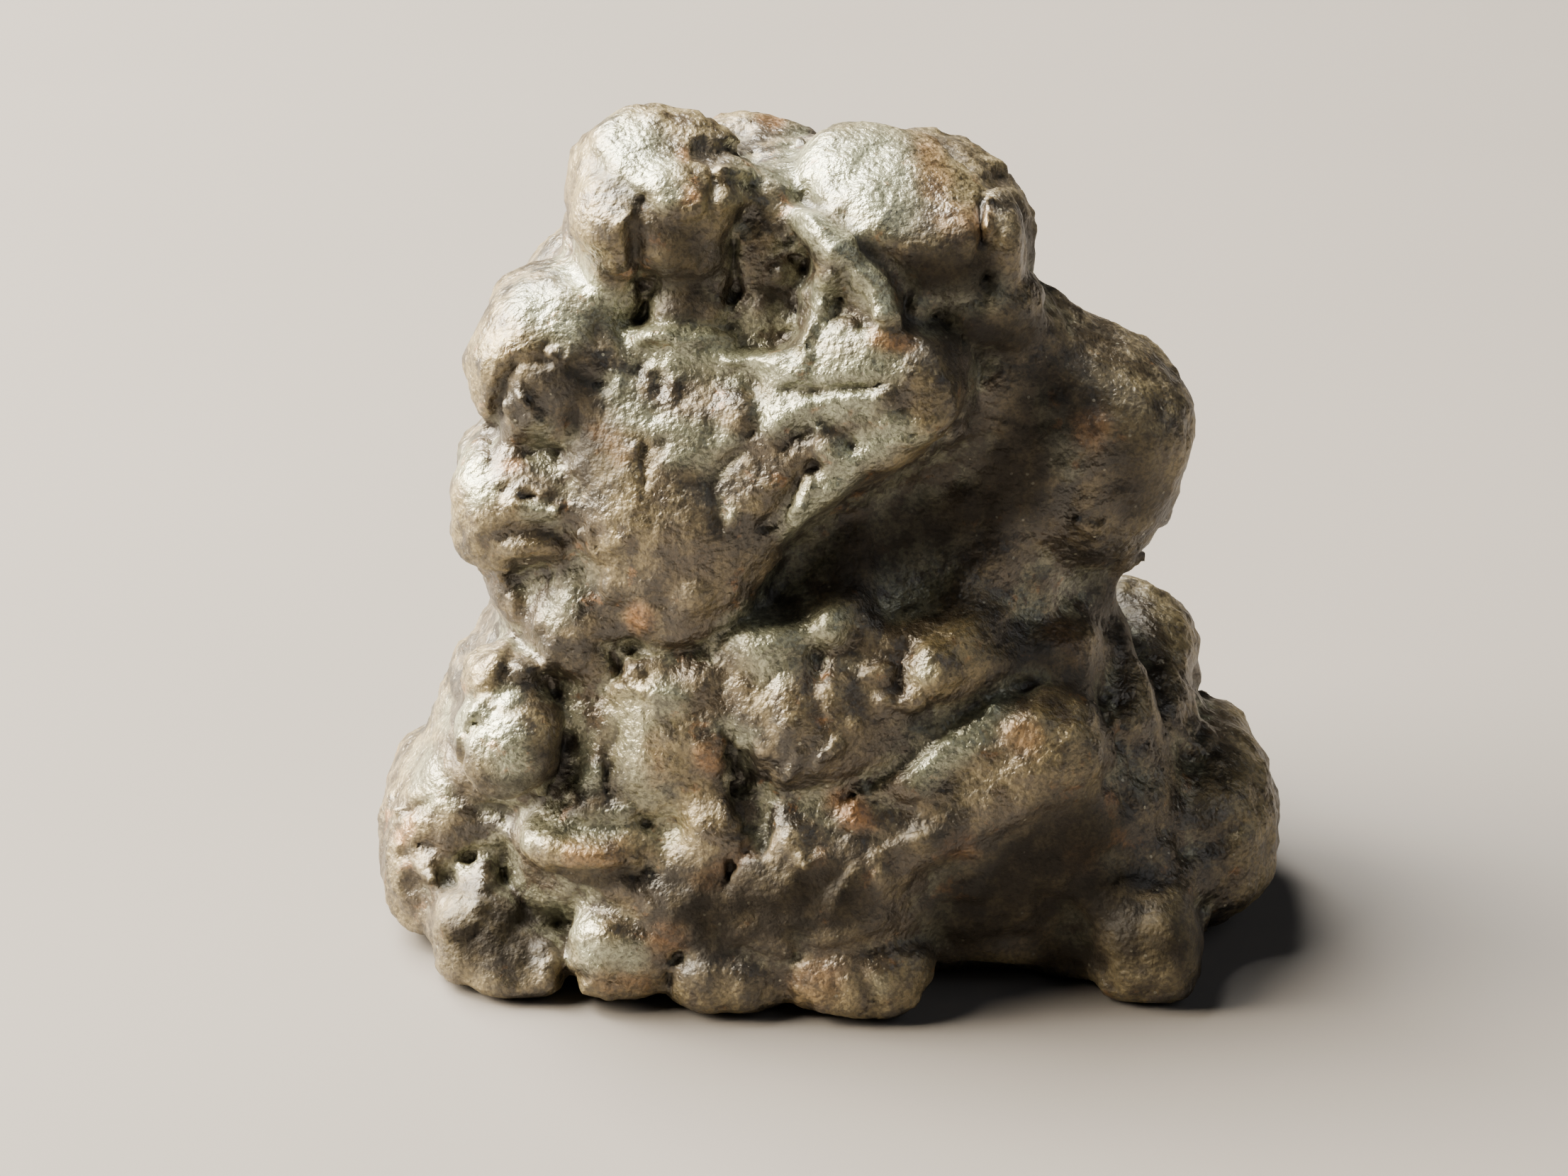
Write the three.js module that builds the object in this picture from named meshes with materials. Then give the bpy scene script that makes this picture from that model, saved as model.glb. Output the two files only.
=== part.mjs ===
// Prophecy stone: one natural iron-oxide concretion that stands on its worn, uneven foot.
// Millimetres, +Z up, the front of the stone towards -Y. The origin is the middle of the box
// around the stone, on the plane that the stone rests on.
//
// The stone is one rounded mass with some eighty grown lumps. Each lump is a squared-off
// ellipsoid. A signed distance to the whole stone comes from blending the lumps one after
// another, then blending the hollows out of them. The surface is the set of places where that
// distance is zero, and a net of four-sided cells is laid over it.

import * as THREE from 'three';

// ---- Driving sizes -----------------------------------------------------------------------

const CELL = 0.95; // edge of one cell of the net
const BOX_LOW = [-18.05, -12.35, -1.425]; // corner of the sampled box; a node row straddles z = 0
const BOX_CELLS = [38, 26, 35];
const FAR = 8; // distance given to places that no lump is near
const FOOT_ROUNDING = 0.5; // radius that softens the edge of the resting patches
const RELIEF_REACH = 1.6; // depth of the skin that the relief acts on
const KNOB_SIZE = 2.6; // spacing of the small knobs all over the skin
const KNOB_HEIGHT = 0.36;
const SWELL_SIZE = 5.2; // wavelength of the slow swell
const SWELL_HEIGHT = 0.22;
const RIPPLE_SIZE = 2.3; // wavelength of the quicker ripple
const RIPPLE_HEIGHT = 0.1;
const PINCH_FILL = 0.05; // depth given to a node that is filled in to keep the net whole
const SETTLE_LIMIT = CELL * 0.25; // longest move that draws a net point onto the surface
const SLOPE_STEP = 0.15; // half the distance over which the slope is measured
const FLAT_SNAP = 0.12; // net points this low belong to the resting patches
const SHIFT = [-0.07, -0.67, 0]; // brings the middle of the box over the origin

const STONE_COLOUR = 0x54493d;
const STONE_ROUGHNESS = 0.45;
const STONE_METALNESS = 0.1;

// ---- Lumps and hollows -------------------------------------------------------------------

// A lump has a centre, three radii, a turn in degrees about X, Y and Z, a squareness (2 is an
// ellipsoid, 4 is nearly a block) and the width over which it blends into what is there already.
function lump(name, centre, radii, turn, squareness, blend) {
  const angles = turn.map((degrees) => THREE.MathUtils.degToRad(degrees));
  const euler = new THREE.Euler(...angles, 'ZYX');
  const axes = new THREE.Matrix4().makeRotationFromEuler(euler).elements;
  const stretch = squareness > 2.5 ? 1.4 : 1;
  const reach = Math.max(...radii) * stretch + blend + 1;
  return { name, centre, radii, axes, squareness, blend, reach };
}

// The masses that carry everything else.
function coreLumps() {
  return [
    lump('base', [-0.6, 1.8, 3], [13.4, 9, 8], [0, 0, -6], 2.6, 1),
    lump('lower dome', [0.4, -0.2, 7.6], [8.6, 7.6, 6.8], [0, 0, -12], 2.4, 1.4),
    lump('left body', [-7, -0.8, 6.2], [5.5, 6.8, 6.6], [-12, 14, 10], 2.6, 1),
    lump('waist', [-0.9, 1, 13], [10, 5.8, 6], [0, 0, 0], 2.4, 1.6),
    lump('chest', [-0.4, 1.2, 19], [9.6, 5.2, 5.6], [0, 0, 0], 2.5, 1.6),
    lump('neck', [-0.8, 1.4, 24.6], [7.4, 4, 3.4], [0, 0, 0], 2.5, 1.4),
  ];
}

// The knob, panel and saddle at the top left, and the block, bean, chin and nose to their right.
function crownLumps() {
  return [
    lump('crown knob', [-5.8, -1.5, 27.5], [2.9, 3.1, 2.05], [22, 4, 0], 2.8, 0.35),
    lump('knob column', [-7.3, -1, 26.1], [1.5, 2.4, 3], [0, 4, 20], 3.2, 0.4),
    lump('column panel', [-4.85, -0.8, 24.6], [1.9, 2.5, 2.8], [-12, 0, 14], 4.5, 0.2),
    lump('back knob', [-2.8, 4.2, 26], [2.2, 2.6, 1.95], [0, 4, 0], 2.4, 0.5),
    lump('saddle', [-2.2, -0.5, 25.8], [2.5, 2.7, 1.9], [-6, 0, 0], 2.6, 0.5),
    lump('neck filling', [-2, -1.2, 23.6], [1.6, 2.4, 2.2], [-14, 0, 0], 3, 0.5),
    lump('crown block', [1.6, -0.9, 26.45], [2.9, 3.3, 2.2], [22, 4, 14], 3, 0.4),
    lump('crown brow', [3.6, -1.4, 25.5], [1.9, 2.5, 2.4], [12, 18, 0], 2.4, 0.6),
    lump('crown back', [3.6, 2.8, 25], [2.9, 2.8, 2.4], [0, 8, 0], 2.4, 0.8),
    lump('bean', [5.55, -1.3, 25.7], [0.95, 1.9, 1.75], [0, -4, 0], 2.4, 0.2),
    lump('chin lobe', [4.5, -1.5, 23.7], [2.5, 2.2, 1.6], [0, 6, 0], 2.2, 0.4),
    lump('nose ridge', [0.8, -2.9, 25.8], [2.5, 1.9, 1.15], [6, 46, 0], 2.8, 0.3),
    lump('nose tab', [-0.2, -2.6, 24.1], [0.7, 1.6, 1.5], [-8, 0, -18], 3.4, 0.2),
    lump('nose flank', [1.5, -3, 24.3], [1, 1.7, 1.5], [-6, 0, -24], 3, 0.2),
  ];
}

// The lobes that stand out to both sides above the waist.
function shoulderLumps() {
  return [
    lump('left shoulder', [-9.5, -1.8, 21.7], [2.85, 3.3, 2.8], [0, 20, 0], 2.5, 0.7),
    lump('shoulder cap', [-8.9, -1.6, 23.7], [1.5, 2.2, 1.1], [0, 0, 0], 2.2, 0.6),
    lump('left lobe', [-10.4, -2.6, 17], [2.7, 3.3, 2.4], [0, 0, 0], 2.5, 0.5),
    lump('right shoulder', [8.3, 0.8, 17.4], [3.9, 3.8, 4.1], [0, 22, 0], 2.7, 0.7),
    lump('shoulder ridge', [7, 1.6, 19.9], [2.6, 3, 1.9], [0, 32, 0], 2.4, 0.8),
    lump('nub neck', [8.7, 0.8, 12.1], [1.4, 2, 1.8], [0, 0, 0], 2.4, 0.6),
    lump('right nub', [9.6, 0.6, 13.8], [1.5, 1.5, 1.4], [0, 0, 0], 2.4, 0.5),
  ];
}

// The sheet down the front: a ledge that overhangs to the right and a tongue below it.
function frontSheetLumps() {
  return [
    lump('ledge', [-0.2, -3.6, 20.3], [5.2, 2.9, 2.8], [-16, -36, 0], 3.4, 0.4),
    lump('ledge brow', [1.8, -3, 21.9], [2.4, 3, 2], [-14, 16, 0], 3, 0.5),
    lump('left mass', [-5, -2.4, 18.4], [4.6, 4, 4.6], [-24, 0, 0], 2.6, 0.8),
    lump('tongue', [-5, -3.4, 16.2], [3.4, 3.7, 3.4], [-10, -6, 0], 2.5, 0.7),
    lump('tongue tip', [-5.4, -4.4, 13.9], [1.8, 2.5, 1.9], [0, 0, 0], 2.2, 0.6),
  ];
}

// The spread lower front: flank, ball, boss, pebbles and the slanting ridge.
function lowerFrontLumps() {
  return [
    lump('left waist', [-9.8, -2, 13.8], [2.2, 2.8, 2.2], [0, 0, 0], 2.2, 0.9),
    lump('left fold', [-7.9, -3.4, 13.2], [2.8, 2.8, 2.6], [0, 0, 0], 2.4, 0.8),
    lump('left flank', [-10.9, -0.8, 7.5], [2.6, 4.6, 6.4], [0, 29, 0], 2.8, 0.9),
    lump('flank foot', [-13.4, -0.8, 2.7], [2.6, 4.2, 3.3], [0, 0, 0], 2.8, 0.8),
    lump('ball nodule', [-10.9, -6, 9.35], [2.05, 2.2, 1.8], [0, 0, 0], 2.1, 0.2),
    lump('ball shoulder', [-11.2, -4.8, 11], [1.5, 1.7, 1.3], [0, 0, 0], 2.1, 0.3),
    lump('small ledge', [-8.3, -5.9, 6], [2.5, 2.9, 1.35], [14, 6, 0], 2.8, 0.3),
    lump('boss', [-5, -4.4, 9.4], [2.5, 3.3, 3.5], [-8, 0, 0], 3.4, 0.6),
    lump('boss low', [-4, -5.4, 6.6], [1.6, 3.2, 2], [0, 0, 0], 2.6, 0.5),
    lump('pebble one', [-0.2, -4.9, 13.2], [2, 1.6, 1.4], [0, 14, 0], 2.4, 1),
    lump('pebble two', [-2.2, -5.2, 12.7], [1.9, 2, 1.6], [0, 0, 0], 2.6, 0.9),
    lump('pebble three', [3.3, -5, 11.9], [2.4, 2, 1.8], [0, -10, 0], 2.6, 1),
    lump('pebble four', [1.4, -5.2, 11.6], [1.6, 1.6, 1.4], [0, 0, 0], 2.4, 1),
    lump('belly', [-0.8, -5.8, 10.2], [2.8, 2.6, 2.6], [0, 0, 0], 2.4, 0.9),
    lump('ridge saddle', [6.4, -2.6, 10.4], [2.9, 2.6, 2.2], [0, 0, 0], 2.4, 1),
    lump('big ridge', [5.7, -5.3, 7.9], [4, 3, 2.1], [0, -31, 0], 2.8, 0.5),
    lump('big ridge end', [7.5, -4.5, 8], [1.8, 3, 2.2], [0, 0, 0], 3, 0.5),
    lump('ridge root', [3, -6.2, 6.3], [2.6, 2.6, 1.5], [0, -26, 0], 2.4, 0.6),
    lump('low front', [-0.6, -5.6, 4.4], [4.4, 3.8, 3.8], [0, 0, 0], 2.6, 0.9),
    lump('low front left', [-5, -5, 3.8], [3.4, 3.9, 3.2], [0, 0, 0], 2.6, 0.8),
    lump('low right front', [6.6, -2.6, 4.2], [5.4, 4.2, 4.4], [0, 0, 24], 2.5, 1),
    lump('low right fill', [9.8, -3.2, 4.6], [2.4, 2.9, 3.2], [0, 0, 0], 2.4, 1.4),
  ];
}

// The lobes low on the right.
function rightSideLumps() {
  return [
    lump('right lobe', [12.7, -0.2, 3.3], [3.35, 4.9, 3.3], [0, -8, 0], 2.6, 0.7),
    lump('right back lump', [10.9, 3.4, 7.7], [2.5, 3, 2.2], [0, 0, 0], 2.4, 0.7),
    lump('mid right lump', [9.2, 0.2, 9.7], [1.5, 2.2, 1.6], [0, 0, 0], 2.1, 0.4),
    lump('recess fill', [10, -2.2, 7.8], [1.6, 1.9, 2.2], [0, 0, 0], 2.2, 0.9),
  ];
}

// The feet along the front edge.
function footLumps() {
  return [
    lump('foot one', [-12.5, -5.4, 1.6], [1.6, 2.4, 1.8], [0, 0, 10], 3, 0.4),
    lump('foot two', [-10.9, -6.6, 1], [1.9, 1.9, 1.3], [0, 0, 0], 2.6, 0.4),
    lump('foot three', [-7.1, -7, 2], [2, 2.2, 1.8], [0, 0, 0], 3, 0.4),
    lump('foot four', [-3.6, -7.4, 1.2], [2.4, 2.2, 1.5], [0, 0, 0], 2.6, 0.4),
    lump('foot five', [0.9, -7.6, 1.4], [2.7, 2.3, 1.6], [0, 0, 0], 2.8, 0.4),
    lump('foot six', [10.9, -5.9, 1.6], [2, 2.9, 2.6], [0, 0, 0], 2.8, 1.6),
  ];
}

// The back, with the same grown look as the front.
function backLumps() {
  return [
    lump('back shoulder left', [-7.4, 4.4, 20.6], [3.6, 3.2, 3.4], [0, 0, 0], 2.4, 0.8),
    lump('back shoulder right', [5.2, 4.6, 18.2], [3.8, 2.8, 3.6], [0, 12, 0], 2.4, 0.8),
    lump('back spine', [-1.6, 5.6, 22.4], [2.8, 2.4, 3.4], [0, 0, 0], 2.4, 0.7),
    lump('back waist lump', [-8.6, 4.6, 14.2], [3, 3.2, 2.8], [0, 0, 0], 2.3, 0.8),
    lump('back belly', [0.4, 6.6, 13.4], [4.6, 3, 3.8], [0, 0, 0], 2.4, 0.8),
    lump('back flank left', [-9.2, 6, 6], [4, 3.8, 4.2], [0, 14, 0], 2.5, 0.9),
    lump('back ledge', [3.4, 8, 7], [4.6, 3, 2.4], [0, -14, 0], 2.8, 0.6),
    lump('back knob low', [-3.4, 8.8, 4.6], [2.4, 2.2, 2.4], [0, 0, 0], 2.2, 0.5),
    lump('back foot left', [-9.2, 7.8, 1.6], [2.6, 2.2, 2], [0, 0, 0], 2.4, 0.5),
    lump('back foot right', [8.4, 7.4, 2], [3.2, 2.8, 2.4], [0, 0, 0], 2.4, 0.6),
  ];
}

// The hollows that part the lumps.
function hollows() {
  return [
    lump('underside hollow', [-0.6, 0.6, -1.6], [9.4, 6.2, 2.6], [0, 0, -8], 2.4, 0.6),
    lump('back notch', [-3.5, 0.7, 28.5], [1, 0.8, 0.7], [0, 0, 0], 2.2, 0.5),
    lump('brow hollow', [4.2, -4.6, 24.5], [1.4, 1, 0.5], [0, 0, 0], 2.2, 0.4),
    lump('under ledge', [4.6, -6.6, 17], [4.4, 3.6, 2.6], [0, -36, 0], 2.6, 0.4),
    lump('deep recess', [-8.5, -7.8, 9.3], [0.55, 1.3, 1.3], [0, 12, 0], 2.2, 0.6),
    lump('right gap', [5.4, -8.6, 0.2], [2.8, 2.6, 0.9], [0, 0, 0], 2.4, 0.3),
    lump('back crease', [-2.6, 10.4, 10], [5.5, 1.8, 0.9], [0, 12, 0], 2.2, 0.5),
    lump('back hollow', [3, 9.6, 17], [2.2, 3, 2], [0, 0, 0], 2.2, 0.6),
  ];
}

const LUMPS = [
  ...coreLumps(),
  ...crownLumps(),
  ...shoulderLumps(),
  ...frontSheetLumps(),
  ...lowerFrontLumps(),
  ...rightSideLumps(),
  ...footLumps(),
  ...backLumps(),
];
const HOLLOWS = hollows();

// ---- Distance to the stone ---------------------------------------------------------------

// Approximate distance to a squared-off ellipsoid: (f - 1) / |grad f|, where f is the
// squareness-norm of the place measured in radii along the lump's own axes.
function distanceToLump(x, y, z, part) {
  const { centre, radii, axes, squareness: n } = part;
  const dx = x - centre[0];
  const dy = y - centre[1];
  const dz = z - centre[2];
  let sum = 0;
  const scaled = [0, 0, 0];
  for (let i = 0; i < 3; i += 1) {
    const along = axes[4 * i] * dx + axes[4 * i + 1] * dy + axes[4 * i + 2] * dz;
    scaled[i] = Math.max(Math.abs(along) / radii[i], 1e-4);
    sum += scaled[i] ** n;
  }
  const norm = sum ** (1 / n);
  let slope = 0;
  for (let i = 0; i < 3; i += 1) slope += (scaled[i] ** (n - 1) / radii[i]) ** 2;
  return (norm - 1) / (Math.sqrt(slope) * norm ** (1 - n));
}

// The smaller of two distances, rounded where they are within `width` of each other.
function blendedMinimum(a, b, width) {
  const overlap = Math.max(width - Math.abs(a - b), 0) / width;
  return Math.min(a, b) - overlap * overlap * width * 0.25;
}

// A repeatable number from 0 to 1 for a lattice cell.
function scatter(i, j, k, channel) {
  const wave = Math.sin(i * 127.1 + j * 311.7 + k * 74.7 + channel) * 43758.5453;
  return wave - Math.floor(wave);
}

// Distance, in lattice cells, to the nearest of the points scattered one to a cell.
function nearestPoint(x, y, z, size, seed) {
  const place = [x / size, y / size, z / size];
  const cell = place.map(Math.floor);
  const channels = [0, 19.19, 47.31].map((offset) => seed * 57.3 + offset);
  let nearest = 9;
  for (let n = 0; n < 27; n += 1) {
    const step = [n % 3, Math.floor(n / 3) % 3, Math.floor(n / 9)];
    const near = cell.map((c, axis) => c + step[axis] - 1);
    const offsets = near.map((c, axis) => place[axis] - c - scatter(...near, channels[axis]));
    nearest = Math.min(nearest, Math.hypot(...offsets));
  }
  return nearest;
}

// Wandering heights from -1 to 1: three crossed sines in a turned frame.
function swell(x, y, z, size, seed) {
  const turn = [seed * 47 + 13, seed * 31 + 29, seed * 17 + 41];
  const frame = lump('', [0, 0, 0], [1, 1, 1], turn, 2, 1).axes;
  const wave = (2 * Math.PI) / size;
  const [u, v, w] = [0, 1, 2].map(
    (i) => (frame[4 * i] * x + frame[4 * i + 1] * y + frame[4 * i + 2] * z) * wave,
  );
  const crossed = Math.sin(u + 1.7 * seed) * Math.cos(v)
    + Math.sin(v + 0.9 * seed) * Math.cos(w)
    + Math.sin(w + 2.3 * seed) * Math.cos(u);
  return crossed / 1.5;
}

// Height of the natural unevenness of the skin, outward positive.
function relief(x, y, z) {
  const knobs = KNOB_HEIGHT * (0.55 - Math.min(nearestPoint(x, y, z, KNOB_SIZE, 3), 1.1));
  const slow = SWELL_HEIGHT * swell(x, y, z, SWELL_SIZE, 1);
  const quick = RIPPLE_HEIGHT * swell(x, y, z, RIPPLE_SIZE, 2);
  return knobs + slow + quick;
}

function isNear(x, y, z, { centre, reach }) {
  return Math.abs(x - centre[0]) < reach
    && Math.abs(y - centre[1]) < reach
    && Math.abs(z - centre[2]) < reach;
}

// Signed distance to the stone: negative inside.
function distanceToStone(x, y, z) {
  let distance = FAR;
  for (const part of LUMPS) {
    if (!isNear(x, y, z, part)) continue;
    distance = blendedMinimum(distance, distanceToLump(x, y, z, part), part.blend);
  }
  for (const part of HOLLOWS) {
    if (!isNear(x, y, z, part)) continue;
    distance = -blendedMinimum(-distance, distanceToLump(x, y, z, part), part.blend);
  }
  if (Math.abs(distance) < RELIEF_REACH) distance -= relief(x, y, z);
  return -blendedMinimum(-distance, z, FOOT_ROUNDING);
}

// ---- The net over the surface ------------------------------------------------------------

const NODES = BOX_CELLS.map((count) => count + 1);

function nodeIndex(i, j, k) {
  return (k * NODES[1] + j) * NODES[0] + i;
}

function nodePlace(i, j, k) {
  return [BOX_LOW[0] + i * CELL, BOX_LOW[1] + j * CELL, BOX_LOW[2] + k * CELL];
}

function sampleDistances() {
  const values = new Float64Array(NODES[0] * NODES[1] * NODES[2]);
  for (let k = 0; k < NODES[2]; k += 1) {
    for (let j = 0; j < NODES[1]; j += 1) {
      for (let i = 0; i < NODES[0]; i += 1) {
        values[nodeIndex(i, j, k)] = distanceToStone(...nodePlace(i, j, k));
      }
    }
  }
  return values;
}

// A corner of a cell is three bits, x + 2y + 4z. The twelve edges are pairs of corners.
const CORNERS = [0, 1, 2, 3, 4, 5, 6, 7];
const CELL_EDGES = [];
for (let corner = 0; corner < 8; corner += 1) {
  for (const bit of [1, 2, 4]) {
    if (!(corner & bit)) CELL_EDGES.push([corner, corner | bit]);
  }
}

function cornerBits(corner) {
  return [corner & 1, (corner >> 1) & 1, corner >> 2];
}

function cornerNode(i, j, k, corner) {
  const [a, b, c] = cornerBits(corner);
  return nodeIndex(i + a, j + b, k + c);
}

function forEachCell(visit) {
  for (let k = 0; k < BOX_CELLS[2]; k += 1) {
    for (let j = 0; j < BOX_CELLS[1]; j += 1) {
      for (let i = 0; i < BOX_CELLS[0]; i += 1) visit(i, j, k);
    }
  }
}

// True where the corners are joined to one another along the cell's edges.
function isOnePiece(corners) {
  const reached = new Set([corners[0]]);
  for (const corner of reached) {
    for (const bit of [1, 2, 4]) {
      if (corners.includes(corner ^ bit)) reached.add(corner ^ bit);
    }
  }
  return reached.size === corners.length;
}

// A cell whose inside or outside corners lie in two pieces would pinch the net to a point or
// an edge. Its shallowest outside corner is made solid until no cell is left like that.
function fillPinches(values) {
  let pinched = true;
  while (pinched) {
    pinched = false;
    forEachCell((i, j, k) => {
      const depth = (corner) => values[cornerNode(i, j, k, corner)];
      const inside = CORNERS.filter((corner) => depth(corner) < 0);
      const outside = CORNERS.filter((corner) => depth(corner) >= 0);
      if (inside.length === 0 || outside.length === 0) return;
      if (isOnePiece(inside) && isOnePiece(outside)) return;
      outside.sort((one, other) => depth(one) - depth(other));
      values[cornerNode(i, j, k, outside[0])] = -PINCH_FILL;
      pinched = true;
    });
  }
}

// One net point for each cell that the surface passes: the mean of its crossings.
function cellPoint(values, i, j, k) {
  const sum = [0, 0, 0];
  let crossings = 0;
  for (const [start, end] of CELL_EDGES) {
    const from = cornerBits(start);
    const to = cornerBits(end);
    const low = values[cornerNode(i, j, k, start)];
    const high = values[cornerNode(i, j, k, end)];
    if ((low < 0) === (high < 0)) continue;
    const share = low / (low - high);
    crossings += 1;
    for (let axis = 0; axis < 3; axis += 1) {
      sum[axis] += from[axis] + share * (to[axis] - from[axis]);
    }
  }
  if (crossings === 0) return null;
  const corner = nodePlace(i, j, k);
  return sum.map((total, axis) => corner[axis] + (total / crossings) * CELL);
}

// Draws a net point along the slope of the distance towards the surface.
function settle(point) {
  const slope = [0, 1, 2].map((axis) => {
    const ahead = [...point];
    const behind = [...point];
    ahead[axis] += SLOPE_STEP;
    behind[axis] -= SLOPE_STEP;
    return (distanceToStone(...ahead) - distanceToStone(...behind)) / (2 * SLOPE_STEP);
  });
  const steepness = Math.max(Math.hypot(...slope), 0.3);
  const gap = distanceToStone(...point) / steepness;
  const move = THREE.MathUtils.clamp(gap, -SETTLE_LIMIT, SETTLE_LIMIT);
  const place = point.map((value, axis) => value - (move * slope[axis]) / steepness);
  if (place[2] < FLAT_SNAP) place[2] = 0;
  return place;
}

// Two triangles for each node-to-node edge that the surface crosses, facing outwards.
function netTriangles(values, pointOf) {
  const triangles = [];
  const cellKey = (i, j, k) => pointOf.get(nodeIndex(i, j, k));
  for (let k = 1; k < BOX_CELLS[2]; k += 1) {
    for (let j = 1; j < BOX_CELLS[1]; j += 1) {
      for (let i = 1; i < BOX_CELLS[0]; i += 1) {
        const here = values[nodeIndex(i, j, k)] < 0;
        for (let axis = 0; axis < 3; axis += 1) {
          const next = [i, j, k];
          next[axis] += 1;
          if (here === values[nodeIndex(...next)] < 0) continue;
          const second = (axis + 1) % 3;
          const third = (axis + 2) % 3;
          const around = [[1, 1], [0, 1], [0, 0], [1, 0]].map(([a, b]) => {
            const cell = [i, j, k];
            cell[second] -= a;
            cell[third] -= b;
            return cellKey(...cell);
          });
          if (!here) around.reverse();
          triangles.push(around[0], around[1], around[2], around[0], around[2], around[3]);
        }
      }
    }
  }
  return triangles;
}

function stoneGeometry() {
  const values = sampleDistances();
  fillPinches(values);
  const positions = [];
  const pointOf = new Map();
  forEachCell((i, j, k) => {
    const point = cellPoint(values, i, j, k);
    if (!point) return;
    pointOf.set(nodeIndex(i, j, k), positions.length / 3);
    positions.push(...settle(point));
  });
  const geometry = new THREE.BufferGeometry();
  geometry.setAttribute('position', new THREE.Float32BufferAttribute(positions, 3));
  geometry.setIndex(netTriangles(values, pointOf));
  geometry.translate(...SHIFT);
  geometry.computeVertexNormals();
  return geometry;
}

// ---- The part ----------------------------------------------------------------------------

function stoneMaterial() {
  return new THREE.MeshStandardMaterial({
    color: STONE_COLOUR,
    roughness: STONE_ROUGHNESS,
    metalness: STONE_METALNESS,
  });
}

const stone = new THREE.Mesh(stoneGeometry(), stoneMaterial());
stone.name = 'prophecy_stone';

const part = new THREE.Group();
part.add(stone);

export default part;
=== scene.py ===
"""Prophecy stone: a knobbly, varnished nodule of iron oxide, with its finish and its lights.

The stone is one solid, so it is one piece.  Its surface is where a signed distance is nought.
The distance is a blended union of lumps, less hollows, and it is then worked over with the
ridges, grooves, scarps, bumps and pits of the side that faces the camera.  Everything is
computed as whole numpy arrays on a regular block of nodes.  Lengths are millimetres until a
mesh is written, which is in metres.
"""

import logging
import math
from dataclasses import dataclass, field
from enum import Enum
from itertools import product

import bpy
import mathutils
import numpy as np
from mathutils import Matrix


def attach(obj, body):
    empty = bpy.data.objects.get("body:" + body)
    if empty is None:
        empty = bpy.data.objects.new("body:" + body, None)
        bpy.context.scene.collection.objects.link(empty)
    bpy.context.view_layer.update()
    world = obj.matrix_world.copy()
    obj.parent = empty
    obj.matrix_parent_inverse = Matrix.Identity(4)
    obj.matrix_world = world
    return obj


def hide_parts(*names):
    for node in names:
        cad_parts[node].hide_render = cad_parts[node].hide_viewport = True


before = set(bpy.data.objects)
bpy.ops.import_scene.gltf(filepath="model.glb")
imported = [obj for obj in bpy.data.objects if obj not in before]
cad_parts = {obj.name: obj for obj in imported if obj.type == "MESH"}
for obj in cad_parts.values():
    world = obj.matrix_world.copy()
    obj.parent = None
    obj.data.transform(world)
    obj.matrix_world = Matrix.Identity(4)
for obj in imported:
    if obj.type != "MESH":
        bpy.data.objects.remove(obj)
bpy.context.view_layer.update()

LOG = logging.getLogger("prophecy_stone")
Triple = tuple[float, float, float]
Pair = tuple[float, float]
METRES = 0.001
# how wide a scarp's drop is, mm, and how much of the scarp's width is added to that
SCARP_EDGE = 0.12
SCARP_SPREAD = 0.06
# half the side of the box that each kind of recess is measured in, mm
RECESSES = {"recess_fine": 0.45, "recess_broad": 1.6}
# fullness above which a form's corners stick out, how far, and the room left round a form, mm
ROUND_POWER = 2.5
BOXY_REACH = 1.4
SPARE_REACH = 1.0
# what a node far from every form is told, mm, and how often split cells are looked for
FAR_OUTSIDE = 8.0
MENDING_ROUNDS = 8


# --------------------------------------------------------------------------------------------
# Small tools
# --------------------------------------------------------------------------------------------
def turn_matrix(turn: Triple) -> np.ndarray:
    """Own axes of a turned form, as columns.

    The turn about X comes first, then Y, then Z: R = Rz Ry Rx.

    Args:
        turn: Degrees about X, Y and Z.

    Returns:
        A 3 by 3 rotation matrix.
    """
    ax, ay, az = (math.radians(t) for t in turn)
    (cx, sx), (cy, sy), (cz, sz) = ((math.cos(a), math.sin(a)) for a in (ax, ay, az))
    about_x = np.array([[1, 0, 0], [0, cx, -sx], [0, sx, cx]])
    about_y = np.array([[cy, 0, sy], [0, 1, 0], [-sy, 0, cy]])
    about_z = np.array([[cz, -sz, 0], [sz, cz, 0], [0, 0, 1]])
    return about_z @ about_y @ about_x


def join_softly(a: np.ndarray, b: np.ndarray, blend: float) -> np.ndarray:
    """Smaller of two distances, with a fillet where they are within blend of each other.

    min(a, b) - blend h^2 / 4, where h = max(blend - |a - b|, 0) / blend.

    Args:
        a: First distances, mm.
        b: Second distances, mm.
        blend: Width of the fillet, mm.

    Returns:
        The blended distances, mm.
    """
    h = np.maximum(blend - np.abs(a - b), 0.0) / blend
    return np.minimum(a, b) - h * h * blend * 0.25


def fraction(v: np.ndarray) -> np.ndarray:
    """Part of each number after the point.

    Args:
        v: Numbers.

    Returns:
        0 to 1 for each.
    """
    return v - np.floor(v)


def scatter(
    i: np.ndarray, j: np.ndarray, k: np.ndarray, seed: float, count: int = 3
) -> list[np.ndarray]:
    """Scrambled numbers, 0 to 1, for each cell of a lattice.

    frac(43758.5453 sin(127.1 i + 311.7 j + 74.7 k + 57.3 seed + m)), for up to three values of m.

    Args:
        i: Cell number along X.
        j: Cell number along Y.
        k: Cell number along Z.
        seed: Which scatter this is.
        count: How many numbers each cell gets.

    Returns:
        The numbers, such as the place of one scattered point inside each cell.
    """
    base = i * 127.1 + j * 311.7 + k * 74.7 + seed * 57.3
    return [fraction(np.sin(base + m) * 43758.5453) for m in (0.0, 19.19, 47.31)[:count]]


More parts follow.
